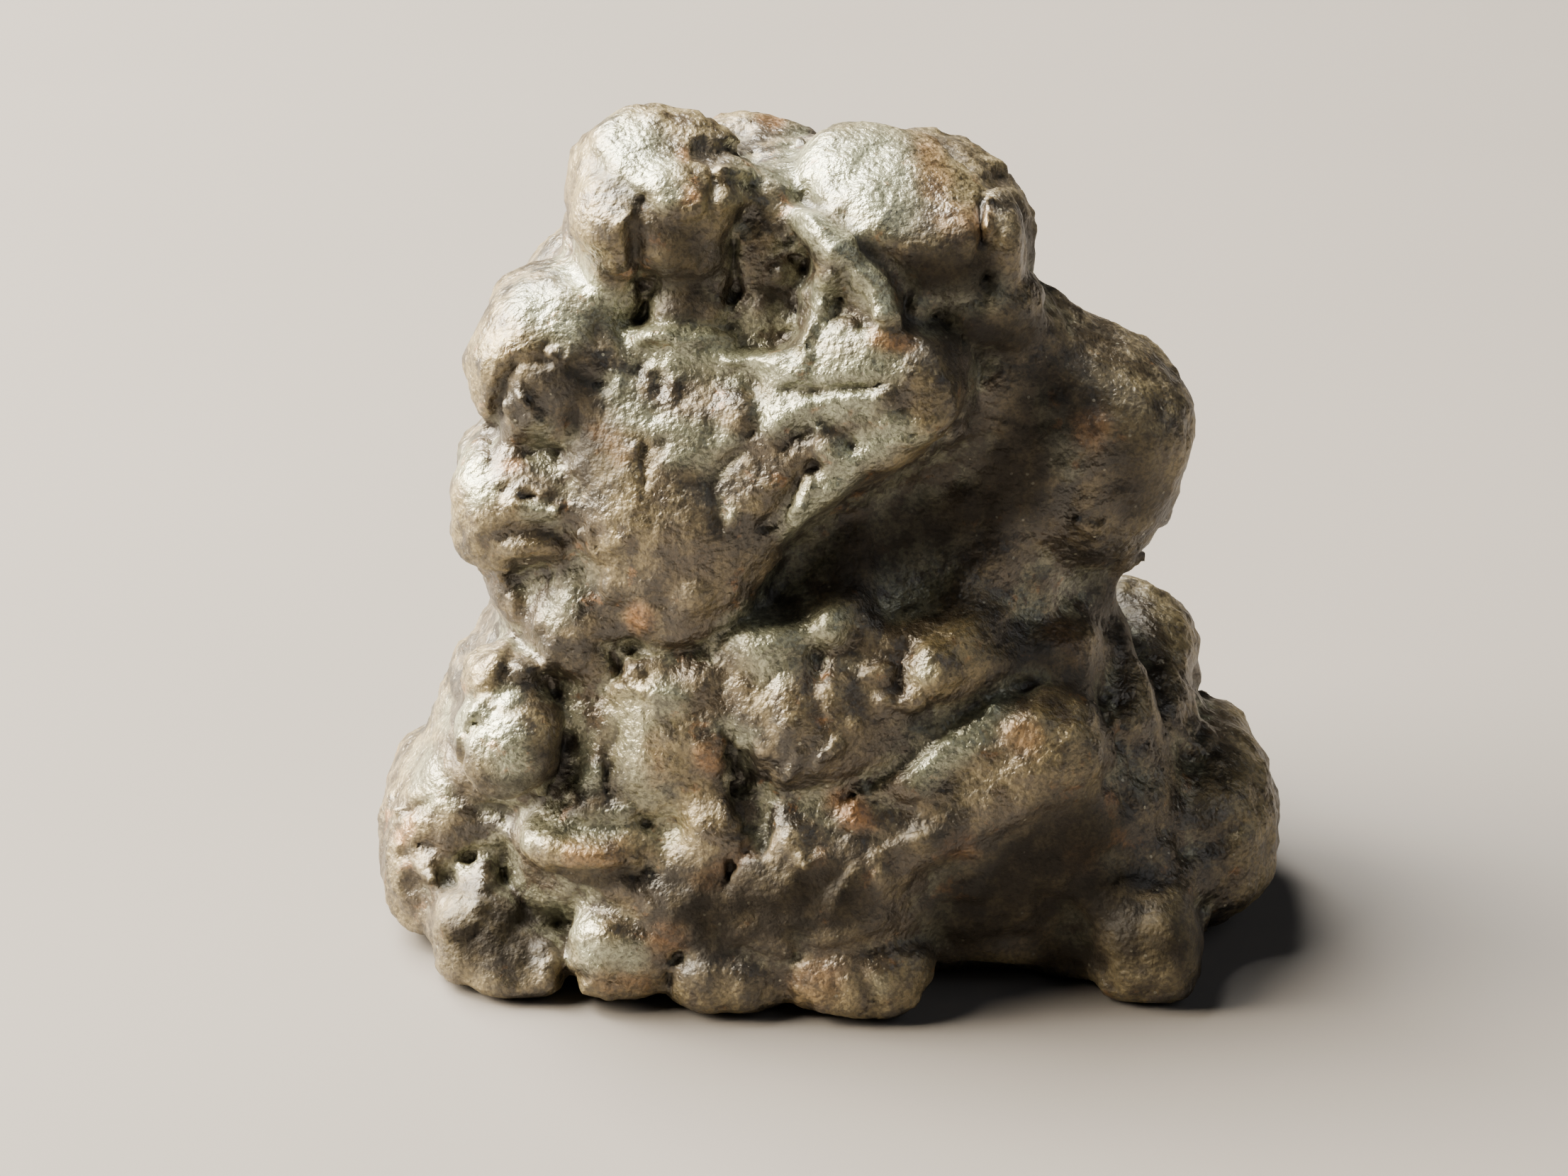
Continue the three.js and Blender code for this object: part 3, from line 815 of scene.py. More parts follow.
@dataclass(frozen=True)
class Crown(Region):
    """The knob, panel and pit on the left, and the block, brow, bean and chin on the right."""

    name: str = "crown"
    lumps: tuple[Lump, ...] = (
        Lump("crown knob", (-5.8, -1.5, 27.5), (2.9, 3.1, 2.05), (22, 4, 0), 2.8, 0.35),
        Lump("knob column", (-7.3, -1.0, 26.1), (1.5, 2.4, 3.0), (0, 4, 20), 3.2, 0.4),
        Lump("column panel", (-4.85, -0.8, 24.6), (1.9, 2.5, 2.8), (-12, 0, 14), 4.5, 0.2),
        Lump("back knob", (-2.8, 4.2, 26.0), (2.2, 2.6, 1.95), (0, 4, 0), 2.4, 0.5),
        Lump("saddle", (-2.2, -0.5, 25.8), (2.5, 2.7, 1.9), (-6, 0, 0), 2.6, 0.5),
        Lump("neck filling", (-2.0, -1.2, 23.6), (1.6, 2.4, 2.2), (-14, 0, 0), 3.0, 0.5),
        Lump("crown block", (1.6, -0.9, 26.45), (2.9, 3.3, 2.2), (22, 4, 14), 3.0, 0.4),
        Lump("crown brow", (3.6, -1.4, 25.5), (1.9, 2.5, 2.4), (12, 18, 0), 2.4, 0.6),
        Lump("crown back", (3.6, 2.8, 25.0), (2.9, 2.8, 2.4), (0, 8, 0), 2.4, 0.8),
        Lump("bean", (5.55, -1.3, 25.7), (0.95, 1.9, 1.75), (0, -4, 0), 2.4, 0.2),
        Lump("chin lobe", (4.5, -1.5, 23.7), (2.5, 2.2, 1.6), (0, 6, 0), 2.2, 0.4),
        Lump("nose ridge", (0.8, -2.9, 25.8), (2.5, 1.9, 1.15), (6, 46, 0), 2.8, 0.3),
        Lump("nose tab", (-0.2, -2.6, 24.1), (0.7, 1.6, 1.5), (-8, 0, -18), 3.4, 0.2),
        Lump("nose flank", (1.5, -3.0, 24.3), (1.0, 1.7, 1.5), (-6, 0, -24), 3.0, 0.2),
    )
    hollows: tuple[Lump, ...] = (
        Lump("back notch", (-3.5, 0.7, 28.5), (1.0, 0.8, 0.7), (0, 0, 0), 2.2, 0.5),
        Lump("brow hollow", (4.2, -4.6, 24.5), (1.4, 1.0, 0.5), (0, 0, 0), 2.2, 0.4),
    )
    marks: tuple[Mark, ...] = (
        # under the knob's dome, and the knob itself
        Mark(
            Work.SCARP,
            ((-6.3, 15.0), (-5.8, 14.3), (-5.2, 13.7), (-4.3, 13.2), (-3.4, 12.8), (-2.8, 12.9)),
            2.2,
            0.65,
        ),
        Mark(Work.SCARP, ((-5.1, 10.5), (-5.3, 11.2), (-5.3, 12.2), (-5.2, 13.4)), 1.3, 0.6),
        Mark(Work.GROOVE, ((-5.05, 10.6), (-5.2, 11.6), (-5.2, 12.8), (-5.0, 13.4)), 0.3, 0.45),
        Mark(Work.GROOVE, ((-2.6, 14.9), (-2.35, 14.2), (-2.4, 13.2)), 0.35, 0.5),
        Mark(Work.PIT, ((-2.8, 15.3), (-1.4, 15.3)), 0.45, 0.8),
        Mark(Work.RIDGE, ((-4.9, 14.1), (-4.4, 14.7), (-3.7, 14.6)), 0.5, 0.12),
        # the flat panel and the rough pit beside it
        Mark(Work.GROOVE, ((-1.7, 12.4), (-1.7, 11.2), (-1.8, 10.2)), 0.32, 0.5),
        Mark(Work.RIDGE, ((-4.9, 8.95), (-3.2, 8.85), (-1.8, 8.8)), 0.35, 0.3),
        Mark(Work.BUMP, ((-0.35, 10.85), (-0.2, 10.95)), 0.4, 0.4),
        Mark(Work.BUMP, ((0.6, 10.2),), 0.35, 0.3),
        Mark(Work.BUMP, ((0.3, 9.4),), 0.3, 0.2),
        Mark(Work.BUMP, ((-0.9, 10.0),), 0.35, 0.2),
        Mark(Work.SCARP, ((1.05, 11.3), (1.0, 10.4)), 0.9, 0.35),
        Mark(Work.BUMP, ((1.3, 11.4), (1.2, 10.2), (1.1, 9.4)), 0.55, 0.35),
        Mark(
            Work.RIDGE,
            ((0.95, 9.1), (0.6, 8.6), (0.0, 8.25), (-0.8, 8.05), (-1.9, 7.95)),
            0.3,
            0.25,
        ),
        Mark(Work.PIT, ((0.2, 12.4), (0.65, 12.8)), 0.3, 0.4),
        Mark(Work.GROOVE, ((-0.1, 12.0), (0.5, 11.6), (0.95, 11.1)), 0.3, 0.4),
        Mark(Work.RIDGE, ((-2.6, 14.7), (-1.4, 14.75), (-0.6, 14.3), (-0.1, 14.2)), 0.4, 0.25),
        Mark(Work.BUMP, ((-0.9, 13.6),), 0.8, 0.25),
        # the nose ridge and its tabs
        Mark(
            Work.SCARP,
            ((4.1, 9.2), (4.05, 10.1), (3.75, 10.9), (3.1, 11.7), (2.1, 12.5), (1.0, 13.3)),
            1.3,
            0.7,
        ),
        Mark(
            Work.RIDGE,
            ((0.9, 12.9), (1.7, 12.1), (2.6, 11.2), (3.3, 10.4), (3.5, 9.8)),
            0.9,
            0.4,
        ),
        Mark(Work.GROOVE, ((2.0, 11.2), (2.2, 10.4)), 0.22, 0.35),
        Mark(Work.BUMP, ((1.55, 9.9),), 0.55, 0.3),
        Mark(Work.BUMP, ((3.1, 9.9),), 0.6, 0.25),
        Mark(Work.GROOVE, ((1.1, 11.1), (1.5, 11.4), (1.6, 12.0)), 0.2, 0.25),
        Mark(Work.GROOVE, ((2.6, 9.15), (3.4, 9.3), (4.1, 9.2)), 0.25, 0.25),
        # block, brow and bean
        Mark(
            Work.SCARP,
            ((3.2, 12.2), (4.0, 11.9), (5.2, 11.7), (6.6, 11.8), (7.0, 12.1)),
            1.7,
            0.2,
        ),
        Mark(
            Work.GROOVE,
            ((7.9, 14.6), (7.4, 14.2), (6.95, 13.6), (6.9, 12.8), (7.0, 12.1)),
            0.3,
            0.35,
        ),
        Mark(Work.RIDGE, ((7.25, 13.8), (7.2, 13.2), (7.25, 12.5)), 0.28, 0.2),
        Mark(
            Work.SCARP,
            ((3.6, 12.7), (4.6, 13.3), (4.9, 14.4), (4.4, 15.3), (4.2, 16.0)),
            1.8,
            0.08,
        ),
        Mark(Work.GROOVE, ((2.1, 14.3), (3.0, 15.1), (3.9, 15.7)), 0.5, 0.15),
        Mark(Work.GROOVE, ((1.0, 13.6), (1.6, 13.4), (2.4, 13.0)), 0.3, 0.15),
        Mark(Work.BUMP, ((4.9, 9.95),), 0.45, 0.25),
        Mark(Work.BUMP, ((7.3, 10.6),), 0.6, 0.25),
    )
    # the silvery stains are varnish colour with painted highlight; the dark stains are painted
    # shade, under the brow, chin and panel
    stains: tuple[Stain, ...] = (
        Stain(Tint.VARNISH_HIGHLIGHT, ((-5.5, 15.6), (-4.9, 14.8)), 1.5, 0.9),
        Stain(Tint.VARNISH_HIGHLIGHT, ((-4.2, 13.9),), 0.9, 0.8),
        Stain(Tint.VARNISH_HIGHLIGHT, ((1.2, 14.9), (3.0, 15.0), (3.2, 13.6)), 1.9, 1.0),
        Stain(Tint.VARNISH_HIGHLIGHT, ((-1.2, 14.6), (0.4, 14.6)), 0.9, 0.4),
        Stain(Tint.VARNISH_HIGHLIGHT, ((0.9, 12.9), (1.8, 12.1), (2.8, 11.0), (3.4, 10.0)), 1.0, 0.9),
        Stain(Tint.VARNISH_HIGHLIGHT, ((1.5, 10.4), (1.5, 9.4)), 0.8, 0.9),
        Stain(Tint.VARNISH_HIGHLIGHT, ((-4.8, 9.0), (-2.6, 8.7)), 0.9, 1.0),
        Stain(Tint.PAINTED_SHADE, ((4.4, 12.7), (6.8, 12.4)), 0.9, 0.5),
        Stain(Tint.VARNISH_HIGHLIGHT, ((5.0, 9.9), (7.3, 10.6)), 0.9, 0.5),
        Stain(Tint.OCHRE, ((-7.0, 15.5), (-7.1, 12.8), (-6.9, 11.8)), 1.0, 0.8),
        Stain(Tint.OCHRE, ((-4.6, 16.7), (-3.3, 16.0)), 0.9, 0.6),
        Stain(Tint.OCHRE, ((-0.6, 13.6),), 0.9, 0.5),
        Stain(Tint.RUST, ((-0.4, 16.6),), 0.6, 0.8),
        Stain(Tint.RUST, ((-3.3, 13.9),), 0.55, 0.9),
        Stain(Tint.RUST, ((-3.5, 15.2),), 0.4, 0.7),
        Stain(Tint.RUST, ((5.0, 15.3), (5.3, 14.2)), 0.8, 0.45),
        Stain(Tint.RUST, ((5.8, 13.0), (6.8, 12.8)), 0.8, 0.45),
        Stain(Tint.OCHRE, ((5.4, 14.8), (6.6, 14.2)), 1.2, 0.7),
        Stain(Tint.PAINTED_SHADE, ((-3.6, 12.2), (-3.4, 10.4)), 1.7, 0.7),
        Stain(Tint.PAINTED_SHADE, ((-0.4, 10.2),), 1.4, 0.6),
        Stain(Tint.PAINTED_SHADE, ((4.9, 11.2), (6.8, 11.2)), 1.5, 0.9),
        Stain(Tint.PAINTED_SHADE, ((5.6, 9.0), (7.8, 8.7)), 1.8, 0.85),
    )


@dataclass(frozen=True)
class Shoulders(Region):
    """The lobes at both sides of the middle."""

    name: str = "shoulders"
    lumps: tuple[Lump, ...] = (
        Lump("left shoulder", (-9.5, -1.8, 21.7), (2.85, 3.3, 2.8), (0, 20, 0), 2.5, 0.7),
        Lump("shoulder cap", (-8.9, -1.6, 23.7), (1.5, 2.2, 1.1), (0, 0, 0), 2.2, 0.6),
        Lump("left lobe", (-10.4, -2.6, 17.0), (2.7, 3.3, 2.4), (0, 0, 0), 2.5, 0.5),
        Lump("right shoulder", (8.3, 0.8, 17.4), (3.9, 3.8, 4.1), (0, 22, 0), 2.7, 0.7),
        Lump("shoulder ridge", (7.0, 1.6, 19.9), (2.6, 3.0, 1.9), (0, 32, 0), 2.4, 0.8),
        Lump("nub neck", (8.7, 0.8, 12.1), (1.4, 2.0, 1.8), (0, 0, 0), 2.4, 0.6),
        Lump("right nub", (9.6, 0.6, 13.8), (1.5, 1.5, 1.4), (0, 0, 0), 2.4, 0.5),
    )
    marks: tuple[Mark, ...] = (
        # left shoulder
        Mark(Work.PIT, ((-8.5, 8.7), (-8.3, 8.9)), 0.28, 0.6),
        Mark(Work.PIT, ((-8.4, 10.7),), 0.16, 0.4),
        Mark(Work.PIT, ((-6.7, 8.75),), 0.3, 0.25),
        Mark(
            Work.GROOVE,
            ((-9.6, 7.9), (-8.9, 8.1), (-8.0, 7.9), (-7.0, 7.5), (-6.4, 7.3), (-6.3, 7.8)),
            0.35,
            0.4,
        ),
        Mark(
            Work.GROOVE,
            ((-9.5, 7.8), (-9.8, 7.2), (-10.1, 6.6), (-10.15, 6.0), (-10.1, 5.5)),
            0.42,
            0.9,
        ),
        Mark(Work.RIDGE, ((-9.6, 7.2), (-9.2, 6.6), (-8.8, 5.9), (-8.5, 5.3)), 0.28, 0.2),
        Mark(Work.GROOVE, ((-7.4, 6.1), (-7.5, 5.2), (-8.0, 4.6)), 0.4, 0.2),
        Mark(Work.GROOVE, ((-8.6, 5.4), (-8.2, 4.9), (-7.3, 4.7)), 0.35, 0.22),
        Mark(Work.PIT, ((-8.9, 4.7),), 0.3, 0.3),
        # left lobe
        Mark(Work.PIT, ((-9.85, 3.45),), 0.25, 0.5),
        Mark(Work.GROOVE, ((-9.2, 3.05), (-8.7, 3.0), (-8.2, 2.9)), 0.25, 0.4),
        Mark(Work.RIDGE, ((-9.6, 2.7), (-8.6, 2.6), (-7.9, 2.8)), 0.4, 0.22),
        Mark(Work.GROOVE, ((-10.6, 1.75), (-9.6, 1.9), (-8.4, 2.0), (-7.6, 1.9)), 0.4, 0.16),
        Mark(Work.RIDGE, ((-9.6, 1.4), (-8.8, 1.6), (-8.0, 1.3)), 0.4, 0.22),
        Mark(Work.PIT, ((-9.0, 0.7), (-8.5, -0.3)), 0.9, 0.45),
        Mark(Work.PIT, ((-7.05, 2.15),), 0.22, 0.5),
        Mark(Work.RIDGE, ((-6.9, 2.2), (-6.7, 1.6), (-6.5, 1.1)), 0.22, 0.18),
        Mark(Work.RIDGE, ((-9.9, 0.6), (-9.7, -0.4), (-9.6, -1.0)), 0.3, 0.15),
        Mark(Work.GROOVE, ((-10.9, 4.1), (-10.3, 4.0), (-10.1, 4.8), (-10.2, 5.4)), 0.25, 0.25),
        # right shoulder
        Mark(Work.SCARP, ((7.4, 6.35), (8.6, 6.05), (10.0, 5.9)), 1.0, 0.25),
        Mark(Work.BUMP, ((10.2, 4.1),), 0.6, 0.2),
        Mark(Work.GROOVE, ((11.0, 2.5), (12.5, 2.9)), 0.4, 0.25),
        Mark(Work.RIDGE, ((10.9, 2.1), (12.3, 3.2)), 0.5, 0.2),
    )
    # the silvery stains are varnish colour with painted highlight; the dark stains are painted
    # shade
    stains: tuple[Stain, ...] = (
        Stain(Tint.VARNISH_HIGHLIGHT, ((-7.4, 11.0), (-6.2, 9.9), (-5.2, 8.9)), 0.9, 1.0),
        Stain(Tint.VARNISH_HIGHLIGHT, ((-8.8, 9.9), (-7.6, 9.4)), 1.2, 0.9),
        Stain(Tint.VARNISH_HIGHLIGHT, ((-11.0, 4.5), (-10.6, 3.4)), 0.8, 0.9),
        Stain(Tint.VARNISH_HIGHLIGHT, ((-9.0, 2.6), (-8.2, 2.5)), 0.5, 0.7),
        Stain(Tint.VARNISH_HIGHLIGHT, ((-8.8, 5.6), (-8.3, 4.2)), 0.6, 0.5),
        Stain(Tint.OCHRE, ((-10.9, 8.0), (-9.9, 8.7)), 1.3, 0.8),
        Stain(Tint.OCHRE, ((-11.5, 3.0), (-11.0, 1.4)), 0.9, 0.8),
        Stain(Tint.RUST, ((-9.6, 4.3),), 0.5, 0.6),
        Stain(Tint.RUST, ((10.8, 5.6),), 0.9, 0.6),
        Stain(Tint.PAINTED_SHADE, ((-7.6, 5.3),), 0.7, 0.5),
        Stain(Tint.PAINTED_SHADE, ((-8.0, 7.6), (-6.8, 6.4), (-6.5, 4.8)), 1.6, 0.6),
        Stain(Tint.PAINTED_SHADE, ((8.0, 3.6), (9.4, 6.6)), 2.6, 0.9),
        Stain(Tint.PAINTED_SHADE, ((12.4, 5.4), (12.6, 3.0)), 2.0, 0.6),
        Stain(Tint.VARNISH_HIGHLIGHT, ((9.2, 6.7), (10.1, 4.2)), 0.8, 0.4),
    )


@dataclass(frozen=True)
class Ledge(Region):
    """The overhanging sheet across the front, and the tongue that it ends in."""

    name: str = "ledge"
    lumps: tuple[Lump, ...] = (
        Lump("ledge", (-0.2, -3.6, 20.3), (5.2, 2.9, 2.8), (-16, -36, 0), 3.4, 0.4),
        Lump("ledge brow", (1.8, -3.0, 21.9), (2.4, 3.0, 2.0), (-14, 16, 0), 3.0, 0.5),
        Lump("left mass", (-5.0, -2.4, 18.4), (4.6, 4.0, 4.6), (-24, 0, 0), 2.6, 0.8),
        Lump("tongue", (-5.0, -3.4, 16.2), (3.4, 3.7, 3.4), (-10, -6, 0), 2.5, 0.7),
        Lump("tongue tip", (-5.4, -4.4, 13.9), (1.8, 2.5, 1.9), (0, 0, 0), 2.2, 0.6),
    )
    hollows: tuple[Lump, ...] = (
        Lump("under ledge", (4.6, -6.6, 17.0), (4.4, 3.6, 2.6), (0, -36, 0), 2.6, 0.4),
        Lump("ledge groove", (0.8, -7.2, 22.0), (1.9, 0.7, 0.25), (0, 0, 0), 2.2, 0.3),
        Lump("ledge groove two", (0.2, -7.4, 20.4), (1.4, 0.8, 0.3), (0, -20, 0), 2.2, 0.3),
    )
    marks: tuple[Mark, ...] = (
        # pits where the ledge meets the left mass
        Mark(Work.PIT, ((-4.35, 6.9),), 0.42, 0.8),
        Mark(Work.PIT, ((-3.5, 6.75),), 0.22, 0.6),
        Mark(Work.PIT, ((-5.2, 7.4),), 0.32, 0.4),
        Mark(Work.GROOVE, ((-5.0, 7.6), (-4.3, 7.4), (-3.6, 7.15)), 0.25, 0.4),
        Mark(Work.PIT, ((-4.6, 6.1),), 0.32, 0.4),
        Mark(Work.PIT, ((-2.6, 5.6),), 0.2, 0.3),
        Mark(Work.PIT, ((-2.7, 5.3),), 0.18, 0.3),
        Mark(Work.PIT, ((-4.2, 5.1),), 0.25, 0.3),
        Mark(Work.PIT, ((-3.9, 6.1),), 0.22, 0.3),
        Mark(Work.RIDGE, ((-5.9, 7.7), (-5.8, 7.2), (-5.9, 6.8)), 0.2, 0.18),
        Mark(
            Work.GROOVE,
            (
                (-0.9, 6.8), (-0.85, 6.2), (-1.1, 5.6), (-1.5, 4.9),
                (-2.1, 4.3), (-2.5, 3.8), (-2.4, 3.0), (-2.3, 2.2),
            ),
            0.5,
            0.4,
        ),
        Mark(Work.GROOVE, ((-5.0, 5.0), (-4.9, 4.4), (-5.0, 3.6), (-4.95, 3.0)), 0.22, 0.25),
        Mark(Work.PIT, ((-5.5, 3.7),), 0.2, 0.3),
        # furrows and folds on top of the ledge
        Mark(
            Work.GROOVE,
            ((0.0, 7.0), (0.8, 6.85), (1.6, 6.75), (2.4, 6.95), (3.4, 7.0)),
            0.36,
            0.42,
        ),
        Mark(Work.RIDGE, ((-0.2, 5.7), (0.8, 6.2), (2.0, 6.5), (3.0, 6.7), (3.8, 6.5)), 0.5, 0.15),
        Mark(Work.GROOVE, ((0.1, 5.0), (0.7, 5.4), (1.5, 5.6), (2.2, 5.4), (2.5, 5.0)), 0.45, 0.45),
        Mark(Work.BUMP, ((1.7, 4.7),), 0.6, 0.2),
        Mark(Work.BUMP, ((2.5, 4.3),), 0.5, 0.15),
        Mark(
            Work.GROOVE,
            ((0.9, 4.3), (0.4, 3.8), (0.1, 3.2), (-0.2, 2.7), (-0.6, 2.3)),
            0.42,
            0.5,
        ),
        Mark(Work.RIDGE, ((0.8, 4.0), (0.7, 3.4), (0.4, 2.8), (0.3, 2.3)), 0.3, 0.22),
        Mark(Work.BUMP, ((1.6, 3.5),), 0.5, 0.2),
        Mark(Work.GROOVE, ((3.2, 5.5), (3.9, 5.4), (4.6, 5.6)), 0.25, 0.15),
        Mark(Work.BUMP, ((4.6, 7.6),), 0.7, 0.15),
        Mark(Work.RIDGE, ((4.0, 5.1), (4.8, 5.4), (5.3, 5.9)), 0.3, 0.15),
        Mark(Work.GROOVE, ((3.6, 6.4), (4.2, 6.3), (5.0, 6.0)), 0.3, 0.2),
        # the edge of the overhang
        Mark(
            Work.SCARP,
            (
                (-0.5, 0.0), (0.1, 1.2), (0.5, 1.9), (1.2, 2.6), (2.2, 3.2),
                (3.2, 3.9), (4.5, 4.4), (5.6, 5.0), (6.5, 5.2),
            ),
            2.6,
            1.3,
        ),
        Mark(Work.SCARP, ((6.5, 5.3), (6.3, 6.3), (6.1, 7.3), (5.6, 8.1), (4.9, 8.8)), 1.9, 1.1),
        Mark(Work.RIDGE, ((-5.0, 8.9), (-3.2, 8.4), (-1.4, 7.95), (0.4, 7.8)), 0.8, 0.3),
        Mark(
            Work.SCARP,
            (
                (-6.0, -1.8), (-5.2, -2.1), (-4.2, -2.2), (-3.0, -1.9),
                (-1.8, -1.2), (-0.6, -0.6), (0.0, 0.0),
            ),
            1.4,
            0.5,
        ),
        # the tongue
        Mark(Work.PIT, ((-4.1, -0.4),), 0.5, 0.3),
        Mark(Work.BUMP, ((-3.0, -0.4),), 0.7, 0.2),
        Mark(Work.BUMP, ((-6.2, -0.2),), 0.5, 0.2),
        Mark(Work.BUMP, ((-5.9, 1.7),), 0.45, 0.2),
        Mark(Work.BUMP, ((-3.7, 4.4),), 0.9, 0.2),
        Mark(Work.BUMP, ((-0.9, 3.3),), 0.9, 0.2),
        Mark(Work.BUMP, ((-0.8, 2.6),), 0.4, 0.15),
        Mark(Work.RIDGE, ((-2.0, 2.9), (-1.9, 2.3)), 0.3, 0.15),
        Mark(Work.BUMP, ((-5.0, -1.2),), 0.6, 0.15),
    )
    # the silvery stains are varnish colour with painted highlight; the dark stains are painted
    # shade, under the overhang and on the left mass
    stains: tuple[Stain, ...] = (
        Stain(Tint.VARNISH_HIGHLIGHT, ((0.2, 2.2), (1.2, 3.4), (2.4, 4.6), (4.0, 5.6)), 0.9, 1.0),
        Stain(Tint.VARNISH_HIGHLIGHT, ((-2.6, 8.3), (0.0, 7.4), (3.2, 7.8)), 1.2, 0.9),
        Stain(Tint.PAINTED_SHADE, ((-7.2, 5.9), (-6.4, 4.6)), 1.5, 0.7),
        Stain(Tint.VARNISH_HIGHLIGHT, ((-4.4, 8.5), (-2.4, 8.3), (-0.4, 7.7), (1.4, 7.9)), 1.1, 1.0),
        Stain(Tint.VARNISH_HIGHLIGHT, ((1.0, 8.8), (2.6, 8.9)), 0.5, 0.7),
        Stain(Tint.VARNISH_HIGHLIGHT, ((-0.4, 6.0), (1.2, 6.2), (2.8, 6.5)), 1.0, 1.0),
        Stain(Tint.VARNISH_HIGHLIGHT, ((-6.0, 7.3), (-5.4, 6.2), (-4.0, 5.6), (-2.2, 5.2)), 0.7, 0.7),
        Stain(Tint.VARNISH_HIGHLIGHT, ((-3.6, 4.7), (-2.8, 4.6)), 0.8, 0.7),
        Stain(Tint.VARNISH_HIGHLIGHT, ((1.9, 4.6), (1.4, 3.8), (0.5, 2.6)), 0.7, 0.8),
        Stain(Tint.VARNISH_HIGHLIGHT, ((-2.0, 2.7),), 0.5, 0.6),
        Stain(Tint.VARNISH_HIGHLIGHT, ((3.6, 5.1), (4.9, 5.4)), 0.4, 0.6),
        Stain(Tint.OCHRE, ((-5.6, 4.8), (-5.4, 2.4), (-5.8, 1.0)), 1.5, 0.6),
        Stain(Tint.OCHRE, ((-4.2, 3.2),), 0.9, 0.5),
        Stain(Tint.OCHRE, ((-0.9, 3.0),), 0.5, 0.6),
        Stain(Tint.RUST, ((3.2, 8.7), (4.0, 8.5)), 0.5, 0.8),
        Stain(Tint.RUST, ((-5.1, -1.1),), 0.8, 0.8),
        Stain(Tint.RUST, ((-6.4, 5.6), (-5.8, 4.8)), 0.6, 0.4),
        Stain(Tint.OCHRE, ((-2.7, -0.4),), 0.9, 0.4),
        Stain(Tint.PAINTED_SHADE, ((5.4, 7.2), (5.6, 6.2)), 0.7, 0.4),
        Stain(Tint.PAINTED_SHADE, ((2.0, 0.9), (4.6, 2.2), (6.9, 2.8)), 2.6, 0.95),
    )


